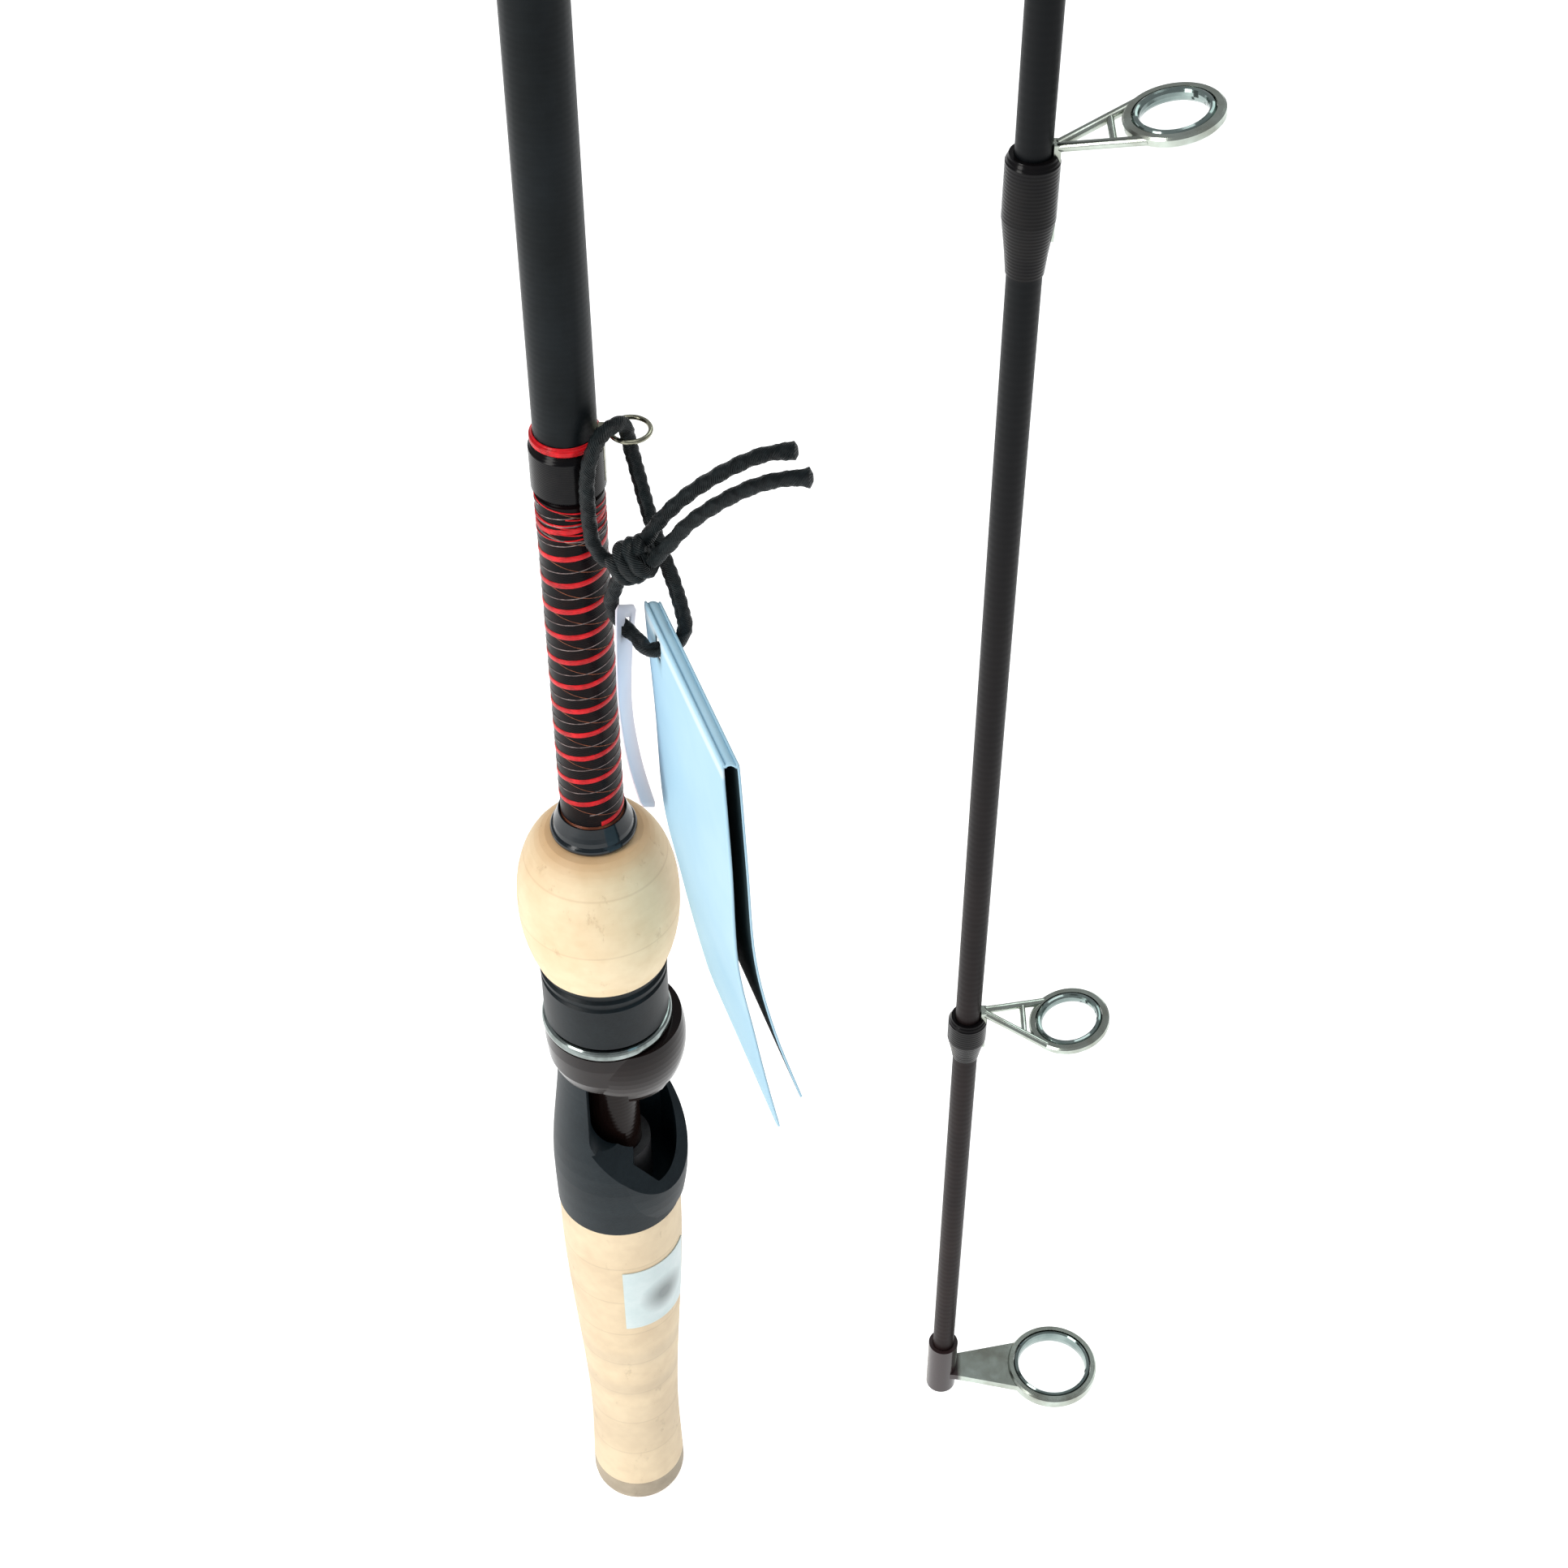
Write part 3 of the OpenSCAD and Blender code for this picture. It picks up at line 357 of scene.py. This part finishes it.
# The knot: both strands pass round each other in three close turns
KNOT_TURNS, KNOT_LENGTH, KNOT_STEPS = 3.1, 5.4, 40
lean = Vector((0.82, -0.1, 0.56)).normalized()
up = Vector((-0.53, -0.24, 0.81)).normalized()
up = (up - lean * up.dot(lean)).normalized()
out_of = lean.cross(up)
knot_route = []
for i in range(KNOT_STEPS + 1):
    t = i / KNOT_STEPS
    turn = 2 * math.pi * KNOT_TURNS * t
    belly = 2.3 + 0.35 * math.sin(math.pi * t)
    around = math.cos(turn) * up + math.sin(turn) * out_of
    q = (KNOT_AT / MM) + lean * KNOT_LENGTH * (t - 0.5) + belly * around
    knot_route.append(tuple(q))
core_route = [(8.2, -11.6, 286.2), (9.4, -11.8, 287.4), (10.6, -12, 288.4), (11.6, -12.2, 289.4),
              (12.6, -12, 290.6)]
knot_path = even_path(smooth_route(knot_route, 6), 0.16 * MM)
verts, faces, uvs = swept(knot_path, CORD_R * 0.93, 24, braid)
core_path = even_path(smooth_route(core_route, 10), 0.16 * MM)
more_verts, more_faces, more_uvs = swept(core_path, CORD_R * 1.7, 24, braid)
base = len(verts)
verts += more_verts
faces += [tuple(base + k for k in f) for f in more_faces]
uvs += more_uvs
knot = new_piece("knot_turns", verts, faces, cord_finish, uvs)
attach(knot, "butt_half")
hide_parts("cord_knot")


# ---- Blanks ----
# Tapered tubes of dark fibre under a satin varnish. The tip half is browner towards its
# thin end. The spigot's end is closed by a small turned plug.

BARE_BELOW = 180 * MM      # under this height the blank is bare, brown and glossy
blank_satin, tree, shader = new_finish("blank_black", Roughness=0.42, Specular_IOR_Level=0.12)
tone = place_group(tree, mottle, Tone_A=rgb(0.002, 0.004, 0.005), Tone_B=rgb(0.005, 0.008, 0.010),
                   Scale=90.0, Speckle=6.0)
place = add_node(tree, "ShaderNodeTexCoord")
parts = add_node(tree, "ShaderNodeSeparateXYZ", inputs={0: place.outputs["Object"]})
bare = add_node(tree, "ShaderNodeMath", operation="LESS_THAN", inputs={
    0: parts.outputs["Z"], 1: BARE_BELOW})
blend = add_node(tree, "ShaderNodeMix", data_type="RGBA", inputs={
    0: bare.outputs[0], 6: tone.outputs["Color"], 7: rgb(0.010, 0.005, 0.004)})
tree.links.new(blend.outputs[2], shader.inputs["Base Color"])
gloss = add_node(tree, "ShaderNodeMapRange", inputs={
    "Value": bare.outputs[0], "To Min": 0.4, "To Max": 0.16})
tree.links.new(gloss.outputs[0], shader.inputs["Roughness"])
wound = place_group(tree, windings, Pitch=0.0011)
add_bump(tree, shader, wound.outputs["Height"], 0.00001, 0.35)

tip_satin, tree, shader = new_finish("blank_brown", Roughness=0.42, Specular_IOR_Level=0.12)
place = add_node(tree, "ShaderNodeTexCoord")
parts = add_node(tree, "ShaderNodeSeparateXYZ", inputs={0: place.outputs["Object"]})
height = add_node(tree, "ShaderNodeMapRange", inputs={
    "Value": parts.outputs["Z"], "From Min": 0.25, "From Max": 0.42})
browns = place_group(tree, mottle, Tone_A=rgb(0.012, 0.006, 0.006), Tone_B=rgb(0.020, 0.011, 0.010),
                     Scale=120.0, Speckle=5.0)
blend = add_node(tree, "ShaderNodeMix", data_type="RGBA", inputs={
    0: height.outputs[0], 6: browns.outputs["Color"], 7: rgb(0.003, 0.004, 0.005)})
tree.links.new(blend.outputs[2], shader.inputs["Base Color"])
wound = place_group(tree, windings, Pitch=0.0009)
add_bump(tree, shader, wound.outputs["Height"], 0.00001, 0.35)


def finish_node(name, finish):
    """A modelled piece keeps its shape and takes its finish."""
    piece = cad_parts[name]
    piece.data.materials.clear()
    piece.data.materials.append(finish)


finish_node("butt_blank", blank_satin)
finish_node("tip_blank", tip_satin)
finish_node("ferrule_sleeve", blank_satin)

plug_black, tree, shader = new_finish("plug_black", Roughness=0.6)
two_tone(tree, shader, rgb(0.02, 0.02, 0.022), rgb(0.035, 0.035, 0.038),
         300.0, 4.0)
finish_node("spigot_plug", plug_black)
finish_node("seat_arbors", plug_black)


# ---- Cork grips ----
# Rings of natural cork glued face to face on the blank and sanded to shape: cream, with
# pits and short dark flecks, and a thin line where two rings meet.

pits, into, out = group("cork_pits", [("Scale", F, 260.0), ("Depth", F, 1.0)],
                        [("Mask", F), ("Height", F)])
place = add_node(pits, "ShaderNodeTexCoord")
stretch = add_node(pits, "ShaderNodeMapping", inputs={
    "Vector": place.outputs["Object"], "Scale": (1.0, 1.0, 0.45)})
warp = add_node(pits, "ShaderNodeTexNoise", inputs={
    "Vector": stretch.outputs[0], "Scale": into.outputs["Scale"], "Detail": 6.0, "Roughness": 0.7})
dark = add_node(pits, "ShaderNodeMapRange", inputs={
    "Value": warp.outputs["Fac"], "From Min": 0.61, "From Max": 0.69})
hollow = add_node(pits, "ShaderNodeMath", operation="MULTIPLY", inputs={
    0: dark.outputs[0], 1: into.outputs["Depth"]})
fall = add_node(pits, "ShaderNodeMath", operation="MULTIPLY", inputs={0: hollow.outputs[0], 1: -1.0})
pits.links.new(dark.outputs[0], out.inputs["Mask"])
pits.links.new(fall.outputs[0], out.inputs["Height"])


def band_at(tree, heights, half_width):
    """A mask that is 1 on thin level lines at the given heights."""
    place = add_node(tree, "ShaderNodeTexCoord")
    parts = add_node(tree, "ShaderNodeSeparateXYZ", inputs={0: place.outputs["Object"]})
    total = None
    for z in heights:
        off = add_node(tree, "ShaderNodeMath", operation="SUBTRACT", inputs={
            0: parts.outputs["Z"], 1: z * MM})
        size = add_node(tree, "ShaderNodeMath", operation="ABSOLUTE", inputs={0: off.outputs[0]})
        near = add_node(tree, "ShaderNodeMapRange", interpolation_type="SMOOTHSTEP", inputs={
            "Value": size.outputs[0], "From Min": 0.0, "From Max": half_width * MM,
            "To Min": 1.0, "To Max": 0.0})
        if total is None:
            total = near.outputs[0]
        else:
            total = add_node(tree, "ShaderNodeMath", operation="MAXIMUM", inputs={
                0: total, 1: near.outputs[0]}).outputs[0]
    return total


def cork_finish(name, light, dark_tone, fleck, joints, stains, stain_tone):
    finish, tree, shader = new_finish(name, Roughness=0.62)
    tone = place_group(tree, mottle, Tone_A=light, Tone_B=dark_tone, Scale=70.0, Speckle=5.0)
    pit = place_group(tree, pits, Scale=330.0, Depth=1.0)
    soft = add_node(tree, "ShaderNodeMath", operation="MULTIPLY", inputs={
        0: pit.outputs["Mask"], 1: 0.26})
    flecked = add_node(tree, "ShaderNodeMix", data_type="RGBA", inputs={
        0: soft.outputs[0], 6: tone.outputs["Color"], 7: fleck})
    colour = flecked.outputs[2]
    lines = add_node(tree, "ShaderNodeMath", operation="MULTIPLY", inputs={
        0: band_at(tree, joints, 0.35), 1: 0.2})
    lined = add_node(tree, "ShaderNodeMix", data_type="RGBA", inputs={
        0: lines.outputs[0], 6: colour, 7: fleck})
    colour = lined.outputs[2]
    for heights, width, amount in stains:
        part = add_node(tree, "ShaderNodeMath", operation="MULTIPLY", inputs={
            0: band_at(tree, heights, width), 1: amount})
        stained = add_node(tree, "ShaderNodeMix", data_type="RGBA", inputs={
            0: part.outputs[0], 6: colour, 7: stain_tone})
        colour = stained.outputs[2]
    tree.links.new(colour, shader.inputs["Base Color"])
    add_bump(tree, shader, pit.outputs["Height"], 0.00012, 0.5)
    return finish


rear_low, rear_high = (v.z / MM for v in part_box("rear_grip"))
ring_h = (rear_high - rear_low) / 8
rear_cork = cork_finish("rear_cork", rgb(0.86, 0.70, 0.47), rgb(0.74, 0.58, 0.38), rgb(0.36, 0.24, 0.13),
                        [rear_low + ring_h * i for i in range(1, 8)],
                        [([48.0, 61.0], 5.0, 0.28), ([30.0], 18.0, 0.2)], rgb(0.50, 0.40, 0.29))
fore_low, fore_high = (v.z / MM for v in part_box("fore_grip"))
fore_cork = cork_finish("fore_cork", rgb(0.90, 0.72, 0.47), rgb(0.80, 0.60, 0.36), rgb(0.45, 0.25, 0.10),
                        [fore_low + 13.1, fore_low + 26.2],
                        [([fore_high + 1.0], 4.5, 0.6)], rgb(0.62, 0.30, 0.09))
finish_node("rear_grip", rear_cork)
finish_node("fore_grip", fore_cork)

butt_rubber = cork_finish("rubber_cork", rgb(0.48, 0.40, 0.29), rgb(0.34, 0.28, 0.20),
                          rgb(0.12, 0.09, 0.07),
                          [9.0], [([0.0], 3.0, 0.4)], rgb(0.30, 0.26, 0.22))
finish_node("butt_cork", butt_rubber)


# ---- Reel seat ----
# Moulded slate-grey body with a fixed hood, in a fine eggshell texture. It is open on the
# reel side and at both flanks, down to the bare blank.

seat_finish, tree, shader = new_finish("seat_slate", Roughness=0.44, Specular_IOR_Level=0.18)
tone = place_group(tree, mottle, Tone_A=rgb(0.004, 0.010, 0.014), Tone_B=rgb(0.008, 0.016, 0.021),
                   Scale=120.0, Speckle=8.0)
place = add_node(tree, "ShaderNodeTexCoord")
tree.links.new(tone.outputs["Color"], shader.inputs["Base Color"])
grain = add_node(tree, "ShaderNodeTexNoise", inputs={
    "Vector": place.outputs["Object"], "Scale": 2600.0, "Detail": 1.0})
add_bump(tree, shader, grain.outputs["Fac"], 0.00005, 0.35)
finish_node("reel_seat", seat_finish)


# ---- Moving hood and its trim ring ----
# A glossy dark-brown moulded hood, closed at the top by a chromed ring.

hood_gloss, tree, shader = new_finish("hood_gloss", Roughness=0.16, Specular_IOR_Level=0.2,
                                      Coat_Weight=0.03)
two_tone(tree, shader, rgb(0.006, 0.003, 0.003), rgb(0.012, 0.006, 0.005),
         80.0, 4.0)
finish_node("reel_hood", hood_gloss)

chrome, tree, shader = new_finish("trim_chrome", Metallic=1.0, Roughness=0.1)
tone = two_tone(tree, shader, rgb(0.34, 0.39, 0.38), rgb(0.20, 0.23, 0.22),
                200.0, 4.0)
rub = add_node(tree, "ShaderNodeMapRange", inputs={
    "Value": tone.outputs["Mask"], "To Min": 0.07, "To Max": 0.2})
tree.links.new(rub.outputs[0], shader.inputs["Roughness"])
finish_node("hood_trim_ring", chrome)


collar_black, tree, shader = new_finish("collar_black", Roughness=0.4, Specular_IOR_Level=0.18)
two_tone(tree, shader, rgb(0.003, 0.006, 0.008), rgb(0.006, 0.011, 0.014),
         160.0, 6.0)
grain = add_node(tree, "ShaderNodeTexNoise", inputs={"Scale": 2200.0, "Detail": 1.0})
place = add_node(tree, "ShaderNodeTexCoord")
tree.links.new(place.outputs["Object"], grain.inputs["Vector"])
add_bump(tree, shader, grain.outputs["Fac"], 0.00004, 0.3)
finish_node("nut_collar", collar_black)

check_gloss, tree, shader = new_finish("check_gloss", Roughness=0.14, Specular_IOR_Level=0.4,
                                       Coat_Weight=0.05)
two_tone(tree, shader, rgb(0.002, 0.006, 0.009), rgb(0.006, 0.012, 0.017),
         120.0, 3.0)
finish_node("winding_check", check_gloss)


# ---- Thread wraps ----
# Black thread wound tight on the blank under thick clear varnish, with a red metallic
# band by the keeper and an open red and silver spiral down to the grip.

wrap_black, tree, shader = new_finish("wrap_black", Roughness=0.2, Specular_IOR_Level=0.12,
                                      Coat_Weight=0.03, Coat_Roughness=0.05)
two_tone(tree, shader, rgb(0.002, 0.002, 0.003), rgb(0.007, 0.006, 0.006),
         240.0, 3.0)
wound = place_group(tree, windings, Pitch=0.00036)
add_bump(tree, shader, wound.outputs["Height"], 0.00002, 0.4)
wrap_names = ["keeper_wrap", "spigot_wrap", "ferrule_wrap", "stripper_wrap", "second_wrap"]
for name in wrap_names + [f"guide_{i}_wrap" for i in range(1, 6)]:
    finish_node(name, wrap_black)

deco_base, tree, shader = new_finish("deco_base", Roughness=0.24, Specular_IOR_Level=0.06)
two_tone(tree, shader, rgb(0.002, 0.002, 0.003), rgb(0.010, 0.004, 0.004),
         320.0, 3.0)
wound = place_group(tree, windings, Pitch=0.00032)
add_bump(tree, shader, wound.outputs["Height"], 0.00002, 0.5)
finish_node("handle_wrap", deco_base)


def thread_finish(name, tone_a, tone_b, metallic, roughness):
    finish, tree, shader = new_finish(name, Metallic=metallic, Roughness=roughness,
                                      Specular_IOR_Level=0.2, Coat_Weight=0.08, Coat_Roughness=0.06)
    tone = place_group(tree, mottle, Tone_A=tone_a, Tone_B=tone_b, Scale=500.0, Speckle=3.0)
    tree.links.new(tone.outputs["Color"], shader.inputs["Base Color"])
    wound = place_group(tree, windings, Pitch=0.00028)
    add_bump(tree, shader, wound.outputs["Height"], 0.00003, 0.6)
    return finish


red_thread = thread_finish("thread_red", rgb(0.80, 0.008, 0.016), rgb(0.42, 0.004, 0.008), 0.1, 0.35)
silver_thread = thread_finish("thread_silver", rgb(0.34, 0.27, 0.26), rgb(0.10, 0.07, 0.07), 0.5, 0.35)
copper_thread = thread_finish("thread_copper", rgb(0.40, 0.13, 0.06), rgb(0.16, 0.05, 0.03), 0.3, 0.35)
finish_node("red_band", red_thread)
finish_node("copper_band", copper_thread)

wrap_low, wrap_high = (v.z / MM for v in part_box("handle_wrap"))
wrap_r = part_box("handle_wrap")[1].x / MM


def spiral_thread(name, low, high, pitch, width, thick, start_deg, hand, finish):
    """One flat strand wound round the wrap, half sunk in its varnish."""
    turns = (high - low) / pitch
    steps = int(turns * 56)
    profile = [(-0.5, -0.25), (-0.42, 0.55), (-0.15, 0.95), (0.15, 0.95), (0.42, 0.55), (0.5, -0.25)]
    verts, faces, uvs = [], [], []
    for i in range(steps + 1):
        t = i / steps
        z = low + (high - low) * t
        turn = math.radians(start_deg) + hand * 2 * math.pi * turns * t
        for across, rise in profile:
            r = wrap_r + rise * thick
            verts.append((r * MM * math.cos(turn), r * MM * math.sin(turn), (z + across * width) * MM))
            uvs.append((across + 0.5, i / 8))
    n = len(profile)
    for i in range(steps):
        for k in range(n):
            q = (k + 1) % n
            face = (i * n + k, i * n + q, (i + 1) * n + q, (i + 1) * n + k)
            faces.append(face if hand < 0 else face[::-1])
    first, final = tuple(range(n)), tuple(steps * n + k for k in range(n))
    faces.append(first if hand > 0 else first[::-1])
    faces.append(final[::-1] if hand > 0 else final)
    piece = new_piece(name, verts, faces, finish, uvs)
    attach(piece, "butt_half")
    return piece


PITCH = 5.55               # rise of the open spiral in one turn
spiral_thread("red_spiral", wrap_low + 0.8, wrap_high - 1.2, PITCH, 1.15, 0.1, -70, 1,
              red_thread)
spiral_thread("silver_spiral_a", wrap_low + 3.2, wrap_high - 2, PITCH, 0.2, 0.07, -90, 1,
              silver_thread)
spiral_thread("cross_thread_a", wrap_low + 1, wrap_high - 1, PITCH * 2, 0.14, 0.05, 0, -1,
              copper_thread)
spiral_thread("cross_thread_b", wrap_low + 1, wrap_high - 1, PITCH * 2, 0.14, 0.05, 180, -1,
              copper_thread)
crossings = [(2.6, -1, red_thread), (3.4, 1, silver_thread), (4.6, -1, red_thread),
             (5.6, 1, red_thread), (6.6, -1, silver_thread)]
for i, (rise, hand, finish) in enumerate(crossings):
    spiral_thread(f"top_crossing_{i + 1}", wrap_high - rise - 2.4, wrap_high - rise + 2.2, 3.1,
                  0.3, 0.13, 40 * i, hand, finish)


# ---- Hook keeper, guides and tip-top ----
# Bent steel wire and stamped steel frames, bright but a little tarnished, each guide with
# a hard dark-grey polished ring pressed in.

keeper_steel, tree, shader = new_finish("keeper_wire", Metallic=1.0, Roughness=0.24)
two_tone(tree, shader, rgb(0.42, 0.41, 0.31), rgb(0.20, 0.20, 0.15),
         400.0, 3.0)
finish_node("hook_keeper", keeper_steel)

guide_steel, tree, shader = new_finish("guide_steel", Metallic=1.0, Roughness=0.18)
tone = two_tone(tree, shader, rgb(0.55, 0.62, 0.56), rgb(0.34, 0.36, 0.31),
                260.0, 3.0)
rub = add_node(tree, "ShaderNodeMapRange", inputs={
    "Value": tone.outputs["Mask"], "To Min": 0.12, "To Max": 0.34})
tree.links.new(rub.outputs[0], shader.inputs["Roughness"])
for name in ["stripper_guide", "second_guide"] + [f"guide_{i}" for i in range(1, 6)]:
    finish_node(name, guide_steel)

# The tip-top's tube is lacquered with the blank; only its web and ring are bare steel
tip_steel, tree, shader = new_finish("tip_top_steel", Roughness=0.22)
tone = place_group(tree, mottle, Tone_A=rgb(0.55, 0.62, 0.56), Tone_B=rgb(0.34, 0.36, 0.31),
                   Scale=260.0, Speckle=3.0)
place = add_node(tree, "ShaderNodeTexCoord")
parts = add_node(tree, "ShaderNodeSeparateXYZ", inputs={0: place.outputs["Object"]})
bare = add_node(tree, "ShaderNodeMapRange", inputs={
    "Value": parts.outputs["X"], "From Min": 0.0568, "From Max": 0.0574})
blend = add_node(tree, "ShaderNodeMix", data_type="RGBA", inputs={
    0: bare.outputs[0], 6: rgb(0.030, 0.018, 0.019), 7: tone.outputs["Color"]})
tree.links.new(blend.outputs[2], shader.inputs["Base Color"])
tree.links.new(bare.outputs[0], shader.inputs["Metallic"])
finish_node("tip_top", tip_steel)

ring_polish, tree, shader = new_finish("guide_ceramic", Metallic=0.85, Roughness=0.1, Coat_Weight=0.4)
two_tone(tree, shader, rgb(0.30, 0.38, 0.36), rgb(0.18, 0.24, 0.23),
         300.0, 3.0)
for name in ["stripper_ring", "second_ring", "tip_top_ring"] + [f"guide_{i}_ring" for i in range(1, 6)]:
    finish_node(name, ring_polish)


# ---- Hang tag ----
# A card of coated stock folded once at the top, pale blue outside and dark inside, so its
# two leaves hang together, with a narrow slip of thin card on the same cord.

TAG_OUT = Vector((0.938, 0.346, 0))


def sheet_stations(stations, per_span):
    """Edge points of a bent sheet, from top to bottom, smoothed between the given ones."""
    far = smooth_route([s[0] for s in stations], per_span)
    near = smooth_route([s[1] for s in stations], per_span)
    return list(zip(far, near))


def bent_card(name, stations, thickness, across, finish, corner, hole, hole_r, lining=None):
    """A sheet with rounded lower corners and a punched hole, given thickness."""
    rows = sheet_stations(stations, 6)
    length = [0.0]
    for (a, b), (c, d) in zip(rows, rows[1:]):
        length.append(length[-1] + ((a + b) / 2 - (c + d) / 2).length)
    width = (rows[0][1] - rows[0][0]).length
    verts, faces, uvs = [], [], []
    for i, (far, near) in enumerate(rows):
        left = min(length[i], length[-1] - length[i])
        pull = 0.0
        if left < corner:
            pull = corner - math.sqrt(max(0.0, corner ** 2 - (corner - left) ** 2))
        for k in range(across + 1):
            t = pull / width + (1 - 2 * pull / width) * k / across
            verts.append(far.lerp(near, t))
            uvs.append((t, length[i] / length[-1]))
    n = across + 1
    for i in range(len(rows) - 1):
        for k in range(across):
            a = i * n + k
            middle = (verts[a] + verts[a + 1] + verts[a + n] + verts[a + n + 1]) / 4
            if (middle - hole).length > hole_r:
                faces.append((a, a + 1, a + n + 1, a + n))
    piece = new_piece(name, verts, faces, finish, uvs)
    solid = piece.modifiers.new("thickness", "SOLIDIFY")
    solid.thickness = thickness
    solid.offset = 0
    if lining:
        piece.data.materials.append(lining)
        solid.material_offset = 1
    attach(piece, "butt_half")
    return piece


tag_gloss, tree, shader = new_finish("tag_blue", Roughness=0.5, Specular_IOR_Level=0.12)
uv = add_node(tree, "ShaderNodeUVMap", uv_map="along")
uv_parts = add_node(tree, "ShaderNodeSeparateXYZ", inputs={0: uv.outputs[0]})
fold = add_node(tree, "ShaderNodeMath", operation="SUBTRACT", inputs={0: uv_parts.outputs["Y"], 1: 0.5})
fold_far = add_node(tree, "ShaderNodeMath", operation="ABSOLUTE", inputs={0: fold.outputs[0]})
crease = add_node(tree, "ShaderNodeMapRange", interpolation_type="SMOOTHSTEP", inputs={
    "Value": fold_far.outputs[0], "From Min": 0.002, "From Max": 0.009, "To Min": 0.5, "To Max": 0.0})
tone = place_group(tree, mottle, Tone_A=rgb(0.40, 0.64, 0.79), Tone_B=rgb(0.47, 0.70, 0.83),
                   Scale=30.0, Speckle=3.0)
blend = add_node(tree, "ShaderNodeMix", data_type="RGBA", inputs={
    0: crease.outputs[0], 6: tone.outputs["Color"], 7: rgb(0.9, 0.95, 0.96)})
tree.links.new(blend.outputs[2], shader.inputs["Base Color"])

tag_lining, tree, shader = new_finish("tag_blue_lining", Roughness=0.7, Specular_IOR_Level=0.1)
two_tone(tree, shader, rgb(0.010, 0.022, 0.028), rgb(0.020, 0.036, 0.042),
         40.0, 3.0)

DOWN = Vector((0, 0, -1))
leaf_middle = [
    (26.75, 187, TAG_OUT), (24.4, 200, TAG_OUT), (22.2, 214, TAG_OUT), (19.7, 231.6, TAG_OUT),
    (19, 254, TAG_OUT), (18.1, 275, TAG_OUT), (18.5, 276.6, (TAG_OUT + DOWN) * 0.7),
    (19.5, 277.2, DOWN), (20.5, 276.6, (DOWN - TAG_OUT) * 0.7), (20.9, 275, -TAG_OUT),
    (21.9, 254, -TAG_OUT), (23, 232.5, -TAG_OUT), (26.2, 214, -TAG_OUT), (31.2, 195, -TAG_OUT)]
half_span = Vector((6.45, -17.5, -1))
leaf_rows = []
for x, z, inward in leaf_middle:
    middle = Vector((x, -27.5, z)) + inward * 0.2
    leaf_rows.append((middle - half_span, middle + half_span))
card = bent_card("folded_card", leaf_rows, 0.4 * MM, 48, tag_gloss, 2.5 * MM,
                 Vector((13.8, -15.9, 273.2)) * MM, 1.9 * MM, tag_lining)
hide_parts("tag_card")

slip_paper, tree, shader = new_finish("slip_lilac", Roughness=0.45)
place = add_node(tree, "ShaderNodeTexCoord")
parts = add_node(tree, "ShaderNodeSeparateXYZ", inputs={0: place.outputs["Object"]})
low = add_node(tree, "ShaderNodeMapRange", inputs={
    "Value": parts.outputs["Z"], "From Min": 0.228, "From Max": 0.262})
tone = place_group(tree, mottle, Tone_A=rgb(0.74, 0.72, 0.84), Tone_B=rgb(0.82, 0.80, 0.88),
                   Scale=60.0, Speckle=3.0)
blend = add_node(tree, "ShaderNodeMix", data_type="RGBA", inputs={
    0: low.outputs[0], 6: rgb(0.80, 0.60, 0.58), 7: tone.outputs["Color"]})
tree.links.new(blend.outputs[2], shader.inputs["Base Color"])
slip_rows = [
    ((10.2, -8.4, 276.1), (7.5, -14.4, 281.2)), ((9.1, -8.4, 266), (7.1, -14.4, 270.6)),
    ((8.6, -8.6, 253.8), (7, -14.6, 259)), ((9.8, -9.7, 242.4), (8, -15.7, 248)),
    ((12, -10.9, 232.3), (10, -16.9, 238.4))]
slip = bent_card("narrow_slip", slip_rows, 0.3 * MM, 16, slip_paper, 1.2 * MM,
                 Vector((8.7, -11.6, 273.7)) * MM, 1.9 * MM)
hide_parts("tag_slip")


# ---- Label ----
# A small blank paper sticker on the rear grip, with a grey smudge where it was handled.

label_paper, tree, shader = new_finish("label_paper", Roughness=0.4)
place = add_node(tree, "ShaderNodeTexCoord")
smudge = add_node(tree, "ShaderNodeTexGradient", gradient_type="SPHERICAL")
centre = add_node(tree, "ShaderNodeMapping", vector_type="TEXTURE", inputs={
    "Vector": place.outputs["Object"], "Location": (0.0085, -0.0085, 0.0845),
    "Scale": (0.006, 0.006, 0.0065)})
tree.links.new(centre.outputs[0], smudge.inputs[0])
soft = add_node(tree, "ShaderNodeMath", operation="MULTIPLY", inputs={0: smudge.outputs["Fac"], 1: 1.3})
tone = place_group(tree, mottle, Tone_A=rgb(0.62, 0.74, 0.74), Tone_B=rgb(0.70, 0.80, 0.80),
                   Scale=200.0, Speckle=3.0)
blend = add_node(tree, "ShaderNodeMix", data_type="RGBA", inputs={
    0: soft.outputs[0], 6: tone.outputs["Color"], 7: rgb(0.22, 0.26, 0.26)})
tree.links.new(blend.outputs[2], shader.inputs["Base Color"])
finish_node("label", label_paper)


# ---- Shading of the turned and moulded pieces ----
# Their curved faces read as smooth, and their crisp edges stay sharp.

SHARP_ANGLE = math.radians(32)
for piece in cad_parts.values():
    for polygon in piece.data.polygons:
        polygon.use_smooth = True
    piece.data.set_sharp_from_angle(angle=SHARP_ANGLE)
